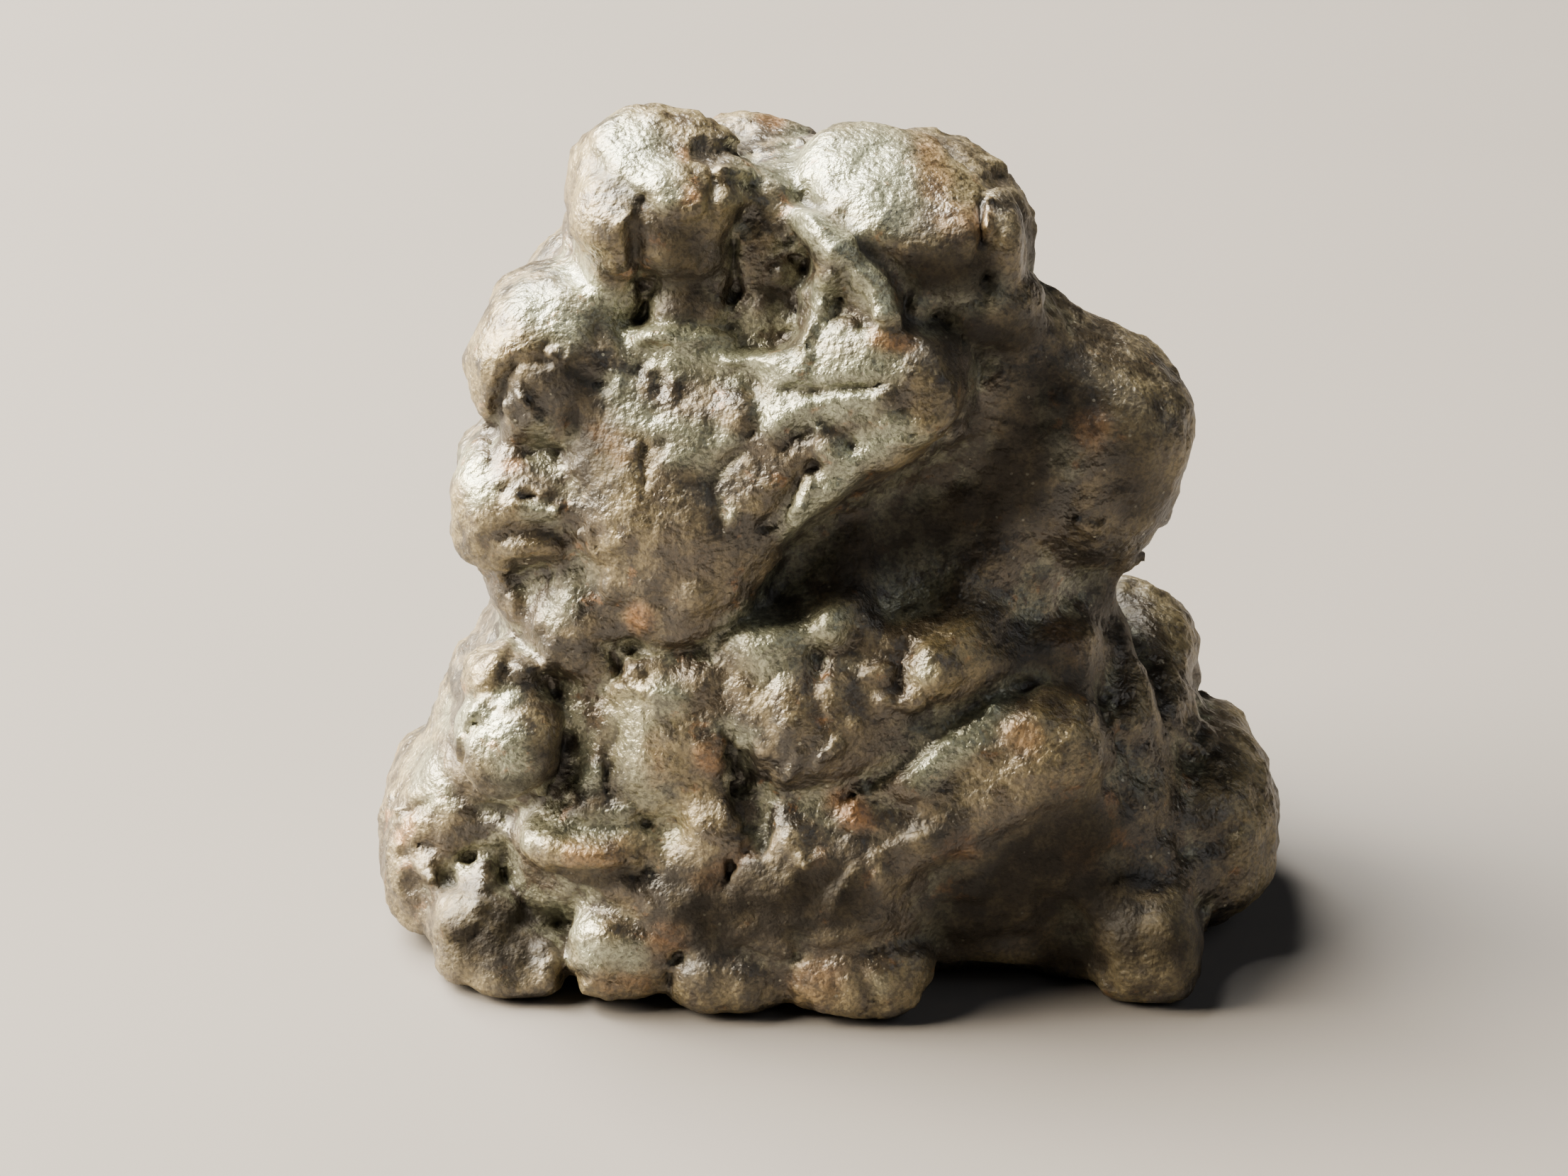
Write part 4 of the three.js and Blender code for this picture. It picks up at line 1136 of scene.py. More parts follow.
@dataclass(frozen=True)
class LowerFront(Region):
    """The nodule, boss, pebbles and big ridge of the lower half."""

    name: str = "lower front"
    lumps: tuple[Lump, ...] = (
        Lump("left waist", (-9.8, -2.0, 13.8), (2.2, 2.8, 2.2), (0, 0, 0), 2.2, 0.9),
        Lump("left fold", (-7.9, -3.4, 13.2), (2.8, 2.8, 2.6), (0, 0, 0), 2.4, 0.8),
        Lump("left flank", (-10.9, -0.8, 7.5), (2.6, 4.6, 6.4), (0, 29, 0), 2.8, 0.9),
        Lump("flank foot", (-13.4, -0.8, 2.7), (2.6, 4.2, 3.3), (0, 0, 0), 2.8, 0.8),
        Lump("ball nodule", (-10.9, -6.0, 9.35), (2.05, 2.2, 1.8), (0, 0, 0), 2.1, 0.2),
        Lump("ball shoulder", (-11.2, -4.8, 11.0), (1.5, 1.7, 1.3), (0, 0, 0), 2.1, 0.3),
        Lump("small ledge", (-8.3, -5.9, 6.0), (2.5, 2.9, 1.35), (14, 6, 0), 2.8, 0.3),
        Lump("boss", (-5.0, -4.4, 9.4), (2.5, 3.3, 3.5), (-8, 0, 0), 3.4, 0.6),
        Lump("boss low", (-4.0, -5.4, 6.6), (1.6, 3.2, 2.0), (0, 0, 0), 2.6, 0.5),
        Lump("pebble one", (-0.2, -4.9, 13.2), (2.0, 1.6, 1.4), (0, 14, 0), 2.4, 1.0),
        Lump("pebble two", (-2.2, -5.2, 12.7), (1.9, 2.0, 1.6), (0, 0, 0), 2.6, 0.9),
        Lump("pebble three", (3.3, -5.0, 11.9), (2.4, 2.0, 1.8), (0, -10, 0), 2.6, 1.0),
        Lump("pebble four", (1.4, -5.2, 11.6), (1.6, 1.6, 1.4), (0, 0, 0), 2.4, 1.0),
        Lump("belly", (-0.8, -5.8, 10.2), (2.8, 2.6, 2.6), (0, 0, 0), 2.4, 0.9),
        Lump("ridge saddle", (6.4, -2.6, 10.4), (2.9, 2.6, 2.2), (0, 0, 0), 2.4, 1.0),
        Lump("big ridge", (5.7, -5.3, 7.9), (4.0, 3.0, 2.1), (0, -31, 0), 2.8, 0.5),
        Lump("big ridge end", (7.5, -4.5, 8.0), (1.8, 3.0, 2.2), (0, 0, 0), 3.0, 0.5),
        Lump("ridge root", (3.0, -6.2, 6.3), (2.6, 2.6, 1.5), (0, -26, 0), 2.4, 0.6),
        Lump("low front", (-0.6, -5.6, 4.4), (4.4, 3.8, 3.8), (0, 0, 0), 2.6, 0.9),
        Lump("low front left", (-5.0, -5.0, 3.8), (3.4, 3.9, 3.2), (0, 0, 0), 2.6, 0.8),
        Lump("low right front", (6.6, -2.6, 4.2), (5.4, 4.2, 4.4), (0, 0, 24), 2.5, 1.0),
        Lump("low right fill", (9.8, -3.2, 4.6), (2.4, 2.9, 3.2), (0, 0, 0), 2.4, 1.4),
        Lump("ridge face", (6.4, -4.0, 5.9), (4.1, 3.7, 3.4), (0, -14, 18), 2.4, 1.4),
    )
    hollows: tuple[Lump, ...] = (
        Lump("deep recess", (-8.5, -7.8, 9.3), (0.55, 1.3, 1.3), (0, 12, 0), 2.2, 0.6),
        Lump("boss valley", (-2.4, -9.0, 8.0), (0.5, 1.4, 1.9), (0, 0, 0), 2.2, 0.3),
    )
    marks: tuple[Mark, ...] = (
        # left flank and the ball
        Mark(Work.RIDGE, ((-9.8, -1.8), (-10.2, -2.6), (-10.7, -3.4)), 0.4, 0.2),
        Mark(Work.PIT, ((-11.3, -2.9),), 0.28, 0.5),
        Mark(Work.PIT, ((-11.4, -3.7),), 0.2, 0.3),
        Mark(Work.BUMP, ((-9.0, -2.7),), 0.5, 0.35),
        Mark(Work.BUMP, ((-8.3, -2.6),), 0.4, 0.25),
        Mark(Work.RIDGE, ((-10.9, -4.4), (-10.0, -4.1), (-9.2, -3.8)), 0.4, 0.2),
        Mark(Work.GROOVE, ((-10.9, -4.9), (-10.4, -4.4), (-10.0, -4.2)), 0.25, 0.3),
        Mark(
            Work.SCARP,
            ((-11.2, -7.1), (-10.6, -7.7), (-9.5, -7.6), (-8.6, -7.1), (-8.0, -6.4), (-7.9, -5.5)),
            1.1,
            0.8,
        ),
        Mark(Work.GROOVE, ((-11.4, -6.5), (-11.2, -5.4), (-10.9, -4.9)), 0.25, 0.3),
        Mark(Work.GROOVE, ((-13.5, -7.9), (-12.8, -8.0), (-12.3, -7.6)), 0.22, 0.3),
        Mark(Work.PIT, ((-13.2, -9.4),), 0.35, 0.6),
        Mark(Work.PIT, ((-13.0, -10.5),), 0.5, 0.5),
        Mark(Work.BUMP, ((-12.3, -10.2),), 0.5, 0.5),
        Mark(Work.PIT, ((-11.7, -10.3),), 0.35, 0.4),
        Mark(Work.BUMP, ((-10.8, -10.1),), 0.75, 0.45),
        Mark(Work.BUMP, ((-10.8, -11.2),), 0.35, 0.3),
        Mark(Work.GROOVE, ((-12.6, -9.1), (-12.1, -9.2)), 0.25, 0.3),
        Mark(Work.GROOVE, ((-11.2, -9.4), (-10.2, -9.6)), 0.3, 0.4),
        # small ledge
        Mark(
            Work.SCARP,
            ((-9.4, -9.4), (-8.4, -9.9), (-7.2, -9.95), (-6.2, -9.8), (-5.0, -9.7)),
            1.4,
            1.0,
        ),
        Mark(Work.RIDGE, ((-8.6, -8.9), (-7.4, -9.2), (-6.0, -9.0)), 0.8, 0.15),
        Mark(Work.GROOVE, ((-9.9, -8.2), (-8.8, -7.9), (-7.8, -7.6)), 0.6, 0.4),
        Mark(Work.PIT, ((-5.1, -9.6),), 0.4, 0.6),
        Mark(Work.GROOVE, ((-8.2, -11.9), (-7.8, -11.3)), 0.18, 0.2),
        Mark(Work.GROOVE, ((-7.7, -12.0), (-7.4, -11.4)), 0.18, 0.2),
        # boss
        Mark(Work.RIDGE, ((-5.6, -3.6), (-4.5, -3.7), (-3.4, -4.1)), 0.5, 0.25),
        Mark(Work.SCARP, ((-2.0, -9.9), (-1.7, -8.5), (-1.9, -7.0), (-2.1, -5.7)), 1.1, 0.9),
        Mark(Work.BUMP, ((-2.6, -5.9),), 0.6, 0.25),
        Mark(Work.GROOVE, ((-6.0, -5.1), (-6.1, -5.8), (-6.2, -7.2)), 0.35, 0.3),
        Mark(Work.BUMP, ((-6.8, -6.4),), 0.7, 0.2),
        Mark(Work.RIDGE, ((-7.9, -7.6), (-6.6, -8.0), (-5.4, -8.1)), 0.35, 0.18),
        Mark(Work.PIT, ((-5.0, -8.4),), 0.3, 0.35),
        Mark(Work.BUMP, ((-5.2, -2.9),), 0.4, 0.3),
        Mark(Work.GROOVE, ((-6.0, -2.4), (-5.6, -3.2), (-4.7, -3.3)), 0.25, 0.3),
        # belly and pebbles
        Mark(Work.BUMP, ((-0.7, -1.9),), 1.1, 0.35),
        Mark(Work.BUMP, ((1.6, -1.3),), 0.75, 0.3),
        Mark(Work.GROOVE, ((1.0, -2.2), (1.2, -2.8), (1.2, -3.6), (1.3, -4.6)), 0.5, 0.35),
        Mark(Work.BUMP, ((3.1, -2.9), (3.6, -2.9)), 0.45, 0.3),
        Mark(Work.BUMP, ((5.2, -2.8),), 1.0, 0.45),
        Mark(Work.GROOVE, ((4.2, -2.0), (4.0, -2.9), (4.2, -3.6)), 0.3, 0.3),
        Mark(Work.BUMP, ((3.6, -3.95), (4.5, -4.0)), 0.4, 0.3),
        Mark(Work.BUMP, ((2.5, -4.8),), 0.4, 0.3),
        Mark(Work.RIDGE, ((1.2, -6.3), (1.8, -5.6)), 0.45, 0.3),
        Mark(Work.GROOVE, ((4.9, -4.5), (6.0, -4.3), (6.5, -4.0)), 0.7, 0.5),
        Mark(Work.PIT, ((5.0, -5.0),), 0.6, 0.3),
        Mark(Work.BUMP, ((-1.7, -5.5),), 0.4, 0.3),
        Mark(Work.RIDGE, ((0.0, -6.9), (0.3, -6.3), (0.6, -6.0)), 0.2, 0.2),
        Mark(Work.BUMP, ((-0.9, -6.0),), 0.5, 0.2),
        # big ridge
        Mark(
            Work.SCARP,
            ((8.5, -3.5), (7.4, -4.0), (6.5, -4.7), (5.8, -5.2))
            + ((4.7, -6.1), (3.4, -6.9), (2.4, -7.6)),
            1.7,
            0.5,
        ),
        Mark(
            Work.SCARP,
            ((3.6, -11.6), (5.0, -10.2), (6.2, -9.4), (7.6, -8.8))
            + ((8.6, -8.0), (9.6, -7.0), (11.2, -6.4)),
            2.6,
            0.15,
        ),
        Mark(Work.RIDGE, ((8.6, -4.4), (7.2, -5.0), (5.9, -5.9), (4.7, -6.8)), 1.3, 0.35),
        Mark(Work.SCARP, ((11.4, -6.6), (11.2, -5.0), (11.1, -4.0)), 1.1, 0.4),
        Mark(Work.PIT, ((7.5, -5.5), (7.6, -5.25)), 0.2, 0.4),
        Mark(Work.RIDGE, ((3.2, -9.4), (4.5, -9.0), (5.3, -8.9)), 0.5, 0.15),
        Mark(Work.GROOVE, ((1.6, -8.7), (2.6, -8.7), (3.4, -8.9)), 0.3, 0.15),
        Mark(Work.RIDGE, ((1.6, -11.0), (2.2, -10.6), (2.4, -10.1)), 0.5, 0.18),
        Mark(Work.BUMP, ((3.5, -10.3),), 0.5, 0.25),
        Mark(Work.RIDGE, ((0.5, -9.7), (1.5, -9.4)), 0.35, 0.25),
        Mark(Work.BUMP, ((-0.1, -10.6),), 0.8, 0.25),
        Mark(Work.BUMP, ((0.2, -8.9),), 0.45, 0.2),
        Mark(Work.RIDGE, ((1.2, -12.6), (2.4, -12.2), (3.3, -11.7)), 0.6, 0.15),
        Mark(Work.GROOVE, ((0.2, -12.2), (0.3, -13.2)), 0.4, 0.3),
        Mark(Work.BUMP, ((1.8, -7.6), (2.6, -8.1)), 0.6, 0.2),
    )
    # the silvery stains are varnish colour with painted highlight; the dark stains are painted
    # shade, beside the nodule, under the small ledge and on the lower right
    stains: tuple[Stain, ...] = (
        Stain(Tint.VARNISH_HIGHLIGHT, ((5.0, -6.4), (6.3, -5.3), (7.6, -4.3)), 0.9, 1.0),
        Stain(Tint.VARNISH_HIGHLIGHT, ((-1.6, -1.5), (0.4, -1.8), (1.7, -1.2)), 1.0, 0.8),
        Stain(Tint.VARNISH_HIGHLIGHT, ((-11.4, -4.4), (-10.0, -5.2), (-9.6, -6.4)), 1.2, 0.9),
        Stain(Tint.PAINTED_SHADE, ((6.4, -11.2), (11.0, -10.8)), 2.8, 0.9),
        Stain(Tint.PAINTED_SHADE, ((-11.7, -10.7), (-10.2, -10.9)), 1.0, 0.6),
        Stain(Tint.VARNISH_HIGHLIGHT, ((-8.1, -0.8), (-7.4, 0.3)), 0.8, 0.5),
        Stain(Tint.VARNISH_HIGHLIGHT, ((-9.6, -3.8),), 0.7, 0.9),
        Stain(Tint.VARNISH_HIGHLIGHT, ((-9.9, -5.2),), 0.7, 0.7),
        Stain(Tint.VARNISH_HIGHLIGHT, ((-12.5, -6.2), (-12.2, -7.4)), 0.9, 0.6),
        Stain(Tint.VARNISH_HIGHLIGHT, ((-4.0, -4.0),), 1.1, 0.9),
        Stain(Tint.VARNISH_HIGHLIGHT, ((-5.2, -4.6), (-4.8, -7.2)), 1.4, 0.6),
        Stain(Tint.VARNISH_HIGHLIGHT, ((-6.8, -6.6),), 0.8, 0.9),
        Stain(Tint.VARNISH_HIGHLIGHT, ((-2.0, -4.9), (-1.4, -5.3)), 0.7, 0.6),
        Stain(Tint.VARNISH_HIGHLIGHT, ((-8.2, -11.4), (-7.0, -11.9)), 0.8, 0.8),
        Stain(Tint.VARNISH_HIGHLIGHT, ((-1.0, -1.5), (-0.4, -2.4)), 1.3, 0.9),
        Stain(Tint.VARNISH_HIGHLIGHT, ((1.6, -1.4),), 0.7, 1.0),
        Stain(Tint.VARNISH_HIGHLIGHT, ((4.9, -2.8),), 0.7, 0.5),
        Stain(Tint.VARNISH_HIGHLIGHT, ((5.2, -6.1), (6.0, -5.5)), 0.55, 0.8),
        Stain(Tint.VARNISH_HIGHLIGHT, ((6.9, -5.2), (7.4, -4.5)), 0.5, 0.9),
        Stain(Tint.VARNISH_HIGHLIGHT, ((-8.9, -8.8),), 0.6, 0.6),
        Stain(Tint.OCHRE, ((-11.0, -2.6), (-12.4, -5.2), (-13.4, -7.0)), 0.8, 0.7),
        Stain(Tint.OCHRE, ((-10.6, -6.4),), 0.8, 0.7),
        Stain(Tint.OCHRE, ((-1.0, -3.0), (-0.6, -3.8)), 1.1, 0.5),
        Stain(Tint.OCHRE, ((-4.8, -4.4), (-4.4, -6.4), (-4.0, -8.2)), 1.8, 1.0),
        Stain(Tint.OCHRE, ((6.2, -6.8), (7.8, -6.6)), 1.4, 0.4),
        Stain(Tint.RUST, ((-11.4, -3.5),), 0.35, 0.9),
        Stain(Tint.RUST, ((-13.2, -8.4), (-13.4, -8.8)), 0.55, 0.8),
        Stain(Tint.RUST, ((-7.4, -9.3), (-6.0, -9.2)), 0.75, 0.6),
        # ochre colour, laid on strongly as painted light on the small ledge's top
        Stain(Tint.OCHRE, ((-8.2, -8.8), (-7.2, -9.2), (-5.6, -9.1)), 1.0, 1.0),
        Stain(Tint.VARNISH_HIGHLIGHT, ((-8.6, -8.4), (-5.8, -8.3)), 0.7, 0.7),
        Stain(Tint.RUST, ((-4.6, -5.5), (-4.4, -6.6)), 0.8, 0.45),
        Stain(Tint.RUST, ((-2.7, -6.0),), 0.6, 0.6),
        Stain(Tint.RUST, ((-4.0, -12.3),), 0.9, 0.7),
        Stain(Tint.RUST, ((1.8, -7.7), (2.7, -8.1)), 0.7, 0.9),
        Stain(Tint.RUST, ((8.6, -5.4), (8.0, -4.6)), 0.8, 0.5),
        Stain(Tint.RUST, ((6.2, -9.2),), 0.7, 0.5),
        Stain(Tint.RUST, ((-2.6, -10.3), (-1.6, -9.4)), 0.7, 0.4),
        Stain(Tint.RUST, ((1.2, -9.5),), 0.5, 0.5),
        Stain(Tint.PAINTED_SHADE, ((-1.5, -7.6), (-1.1, -8.8)), 0.8, 0.5),
        Stain(Tint.PAINTED_SHADE, ((10.2, -9.0), (6.4, -11.8)), 3.0, 0.95),
        Stain(Tint.PAINTED_SHADE, ((8.4, -2.6), (10.2, -3.0)), 1.8, 0.6),
        Stain(Tint.PAINTED_SHADE, ((3.6, -9.2), (5.6, -8.9)), 1.6, 0.4),
        Stain(Tint.PAINTED_SHADE, ((-2.6, -11.4), (1.6, -11.0)), 2.8, 0.9),
        Stain(Tint.PAINTED_SHADE, ((-10.6, -7.0), (-9.0, -6.9), (-8.2, -5.8)), 0.7, 0.7),
        Stain(Tint.PAINTED_SHADE, ((-7.8, -10.3), (-5.6, -10.2)), 0.7, 0.7),
        Stain(Tint.PAINTED_SHADE, ((-13.1, -10.2), (-11.6, -10.6)), 0.8, 0.6),
        Stain(Tint.PAINTED_SHADE, ((-9.4, -13.0), (-9.0, -12.6)), 1.2, 0.7),
    )


@dataclass(frozen=True)
class RightSide(Region):
    """The lobes that lie in the shade."""

    name: str = "right side"
    lumps: tuple[Lump, ...] = (
        Lump("right lobe", (12.7, -0.2, 3.3), (3.35, 4.9, 3.3), (0, -8, 0), 2.6, 0.7),
        Lump("right back lump", (10.9, 3.4, 7.7), (2.5, 3.0, 2.2), (0, 0, 0), 2.4, 0.7),
        Lump("mid right lump", (9.2, 0.2, 9.7), (1.5, 2.2, 1.6), (0, 0, 0), 2.1, 0.4),
        Lump("recess fill", (10.0, -2.2, 7.8), (1.6, 1.9, 2.2), (0, 0, 0), 2.2, 0.9),
        Lump("recess floor", (11.2, 0.0, 6.9), (1.7, 2.0, 2.0), (0, 0, 0), 2.2, 1.2),
    )
    marks: tuple[Mark, ...] = (
        Mark(Work.GROOVE, ((13.1, -2.8), (13.3, -4.4)), 0.45, 0.2),
        Mark(Work.BUMP, ((12.2, -4.7),), 0.8, 0.3),
        Mark(Work.BUMP, ((10.5, -1.9),), 0.9, 0.25),
        Mark(Work.BUMP, ((14.6, -5.3),), 0.8, 0.25),
        Mark(Work.BUMP, ((13.4, -11.9),), 0.9, 0.2),
        Mark(Work.GROOVE, ((14.0, -9.5), (15.2, -9.0), (16.0, -8.3)), 0.6, 0.2),
    )
    # the dark stains are painted shade; the silvery stain is varnish colour with painted highlight
    stains: tuple[Stain, ...] = (
        Stain(Tint.VARNISH_HIGHLIGHT, ((12.6, -6.8),), 0.9, 0.3),
        Stain(Tint.OCHRE, ((14.2, -6.4), (16.2, -7.4)), 1.6, 0.3),
        Stain(Tint.RUST, ((10.6, -9.3),), 0.9, 0.3),
        Stain(Tint.PAINTED_SHADE, ((9.6, -12.8), (13.2, -12.4)), 2.6, 0.9),
        Stain(Tint.PAINTED_SHADE, ((11.4, 0.6), (12.0, -1.6)), 1.6, 0.6),

        Stain(Tint.RUST, ((9.6, -1.4), (10.4, -2.2)), 0.8, 0.3),
    )


@dataclass(frozen=True)
class Feet(Region):
    """The toes that it stands on."""

    name: str = "feet"
    lumps: tuple[Lump, ...] = (
        Lump("foot one", (-12.5, -5.4, 1.6), (1.6, 2.4, 1.8), (0, 0, 10), 3.0, 0.4),
        Lump("foot two", (-10.9, -6.6, 1.0), (1.9, 1.9, 1.3), (0, 0, 0), 2.6, 0.4),
        Lump("foot three", (-7.1, -7.0, 2.0), (2.0, 2.2, 1.8), (0, 0, 0), 3.0, 0.4),
        Lump("foot four", (-3.6, -7.4, 1.2), (2.4, 2.2, 1.5), (0, 0, 0), 2.6, 0.4),
        Lump("foot five", (0.9, -7.6, 1.4), (2.7, 2.3, 1.6), (0, 0, 0), 2.8, 0.4),
        Lump("foot six", (10.9, -5.9, 1.6), (2.0, 2.9, 2.6), (0, 0, 0), 2.8, 1.6),
        Lump("foot web", (8.4, -3.6, 1.8), (3.4, 3.0, 2.4), (0, 0, 0), 2.4, 1.4),
    )
    hollows: tuple[Lump, ...] = (
        Lump("right gap", (5.4, -8.6, 0.2), (2.8, 2.6, 0.9), (0, 0, 0), 2.4, 0.3),

    )
    marks: tuple[Mark, ...] = (
        Mark(Work.PIT, ((-9.2, -13.2),), 1.0, 0.7),
        Mark(Work.SCARP, ((-7.2, -13.45), (-6.0, -13.5), (-4.8, -13.8)), 0.9, 0.3),
        Mark(Work.GROOVE, ((2.7, -13.4), (3.2, -14.4)), 0.35, 0.3),
        Mark(Work.GROOVE, ((-3.6, -13.0), (-3.9, -13.9)), 0.3, 0.3),
        Mark(Work.GROOVE, ((-11.6, -12.4), (-10.8, -12.1)), 0.3, 0.3),
    )
    # the dark stain is painted shade; the silvery stains are varnish colour with painted highlight
    stains: tuple[Stain, ...] = (
        Stain(Tint.PAINTED_SHADE, ((-11.4, -12.3), (-9.2, -12.1)), 1.9, 0.95),
        Stain(Tint.VARNISH_HIGHLIGHT, ((-6.9, -12.8), (-5.2, -13.1)), 0.8, 0.9),
        Stain(Tint.OCHRE, ((-12.2, -12.4),), 0.8, 0.7),
        Stain(Tint.RUST, ((-6.6, -13.7), (-5.0, -14.0)), 0.5, 0.4),
        Stain(Tint.RUST, ((1.2, -13.9),), 1.4, 0.35),
        Stain(Tint.VARNISH_HIGHLIGHT, ((3.4, -14.0),), 0.6, 0.3),
    )


@dataclass(frozen=True)
class Back(Region):
    """The side turned away."""

    name: str = "back"
    lumps: tuple[Lump, ...] = (
        Lump("back shoulder left", (-7.4, 4.4, 20.6), (3.6, 3.2, 3.4), (0, 0, 0), 2.4, 0.8),
        Lump("back shoulder right", (5.2, 4.6, 18.2), (3.8, 2.8, 3.6), (0, 12, 0), 2.4, 0.8),
        Lump("back spine", (-1.6, 5.6, 22.4), (2.8, 2.4, 3.4), (0, 0, 0), 2.4, 0.7),
        Lump("back waist lump", (-8.6, 4.6, 14.2), (3.0, 3.2, 2.8), (0, 0, 0), 2.3, 0.8),
        Lump("back belly", (0.4, 6.6, 13.4), (4.6, 3.0, 3.8), (0, 0, 0), 2.4, 0.8),
        Lump("back flank left", (-9.2, 6.0, 6.0), (4.0, 3.8, 4.2), (0, 14, 0), 2.5, 0.9),
        Lump("back ledge", (3.4, 8.0, 7.0), (4.6, 3.0, 2.4), (0, -14, 0), 2.8, 0.6),
        Lump("back knob low", (-3.4, 8.8, 4.6), (2.4, 2.2, 2.4), (0, 0, 0), 2.2, 0.5),
        Lump("back foot left", (-9.2, 7.8, 1.6), (2.6, 2.2, 2.0), (0, 0, 0), 2.4, 0.5),
        Lump("back foot right", (8.4, 7.4, 2.0), (3.2, 2.8, 2.4), (0, 0, 0), 2.4, 0.6),
    )
    hollows: tuple[Lump, ...] = (
        Lump("back crease", (-2.6, 10.4, 10.0), (5.5, 1.8, 0.9), (0, 12, 0), 2.2, 0.5),
        Lump("back hollow", (3.0, 9.6, 17.0), (2.2, 3.0, 2.0), (0, 0, 0), 2.2, 0.6),
    )


@dataclass
class Stone:
    """The whole stone: its regions, the natural unevenness over them, and its skin."""

    regions: tuple[Region, ...]
    cell: float = 0.21
    low: Triple = (-17.6, -11.9, -0.95)
    high: Triple = (17.6, 12.6, 32.0)
    shift: Triple = (-0.07, -0.67, 0.0)
    foot_wear: float = 0.5
    lump_size: float = 2.6
    lump_height: float = 0.36
    swell_height: float = 0.22
    ripple_height: float = 0.10
    grain_size: float = 1.25
    grain_height: float = 0.12
    pebble_size: float = 0.85
    pebble_height: float = 0.20
    pebbles_end: float = 15.0
    crumple_size: float = 1.5
    crumple_height: float = 0.17
    worked_within: float = 1.6
    calmed: float = 0.6
    deepest: float = 0.6
    stray: float = 0.22
    strays: tuple[Triple, ...] = ((1.3, 1.0, 0), (0.55, 0.6, 3), (0.3, 0.4, 6))
    raster_step: float = 0.35
    raster_half: float = 24.0
    shown_until: float = 2.4
    shown_fade: float = 1.4
    grain_from: float = 0.6
    varnish_levels: float = 0.4
    # strength of the painted shade on the sides that the marks don't reach
    unworked_painted_shade: float = 0.45

    def unevenness(self, points: np.ndarray) -> np.ndarray:
        """Height of the natural swells: a cell pattern 2.6 mm apart, and waves 5.2 and 2.3 mm long.

        The pattern is lump height (0.55 - gap), where gap is the distance to the middle of the
        nearest lump in lump spacings, and no more than 1.1.

        Args:
            points: Places, mm.

        Returns:
            Outward height, mm.
        """
        mound = 0.55 - np.minimum(nearest_point(points, self.lump_size, 3), 1.1)
        swell = self.swell_height * waves(points, 5.2, 1)
        swell += self.ripple_height * waves(points, 2.3, 2)
        return self.lump_height * mound + swell

    def grain(self, points: np.ndarray) -> np.ndarray:
        """Height of the small relief: round mounds, pebbles on the lower body, and creases.

        A mound is 0.4 - gap^2 high, where gap is the distance to its middle in mound spacings.
        Mounds are 1.25 mm apart, pebbles 0.85 mm, and creases run from 1.5 mm down to 0.4 mm.
        Pebbles fade upward over 4 mm to a fifth of their height, and all of it is strong in some
        patches and weak in others, 6.7 mm apart.

        Args:
            points: Places, mm.

        Returns:
            Outward height, mm.
        """
        mounds = 0.4 - np.minimum(nearest_point(points, self.grain_size, 7), 1.0) ** 2
        pebbles = 0.4 - np.minimum(nearest_point(points, self.pebble_size, 9), 1.0) ** 2
        low_down = np.clip((self.pebbles_end - points[:, 2]) / 4.0, 0.2, 1.0)
        creased = crumple(points, self.crumple_size, 5, 3, 0.75)
        patchy = np.clip(0.6 + 0.6 * waves(points, 6.7, 4), 0.15, 1.1)
        height = self.grain_height * mounds + self.pebble_height * low_down * pebbles
        return patchy * height + (0.5 + 0.5 * patchy) * self.crumple_height * creased

    def strayed(
        self, points: np.ndarray, across: np.ndarray, up: np.ndarray
    ) -> tuple[np.ndarray, np.ndarray]:
        """Places on the sight plane, moved a little so that no mark has a drawn outline.

        The move is stray times the sum of share times cloud, for each size in strays.

        Args:
            points: Places in space, mm.
            across: Places to the right, mm.
            up: Places upward, mm.

        Returns:
            The moved places.
        """
        moved = []
        for flat, seed in ((across, 21), (up, 31)):
            drift = sum(part * cloud(points, size, seed + on) for size, part, on in self.strays)
            moved.append(flat + self.stray * drift)
        return moved[0], moved[1]

    def facing(self, block: Block, points: np.ndarray, view: Viewpoint) -> tuple[np.ndarray, ...]:
        """Where places show on the sight plane, and how far they belong to what is seen first.

        The nearest depth of the surface is kept in a raster, and a place counts in full down to
        1 mm behind it and not at all past 2.4 mm.

        Args:
            block: The shaped block.
            points: Places, mm.
            view: The viewpoint.

        Returns:
            Millimetres across, millimetres up, and a share from 0 to 1.
        """
        count = int(2 * self.raster_half / self.raster_step)

        def square(across: np.ndarray, up: np.ndarray) -> np.ndarray:
            """Number of the raster's square that each place is in.

            Args:
                across: Places to the right, mm.
                up: Places upward, mm.

            Returns:
                Square numbers.
            """
            moved = ((v + self.raster_half) / self.raster_step for v in (across, up))
            column, row = (np.clip(v.astype(int), 0, count - 1) for v in moved)
            return column * count + row

        _, surface = block.near(0.8 * self.cell)
        across, up, depth = view.sight(surface + np.array(self.shift))
        first = np.full(count * count, np.inf)
        np.minimum.at(first, square(across, up), depth)
        across, up, depth = view.sight(points + np.array(self.shift))
        behind = depth - first[square(across, up)]
        return across, up, np.clip((self.shown_until - behind) / self.shown_fade, 0.0, 1.0)

    def shape(self, view: Viewpoint) -> Block:
        """Builds the block of distances, from the lumps down to the marks on the front.

        The natural swells are calmer where the front has marks of its own.

        Args:
            view: The viewpoint that the marks are drawn from.

        Returns:
            The finished block.
        """
        block = Block(self.low, self.high, self.cell)
        for region in self.regions:
            region.build_up(block)
        for region in self.regions:
            region.hollow_out(block)
        index, points = block.near(self.worked_within)
        across, up, share = self.facing(block, points, view)
        across, up = self.strayed(points, across, up)
        worked = sum(region.work_over(across, up) for region in self.regions) * share
        uneven = self.unevenness(points) * (1 - self.calmed * share)
        block.gap[index] -= uneven + self.held(worked)
        block.stand_on(self.foot_wear)
        block.make_one_piece()
        return block

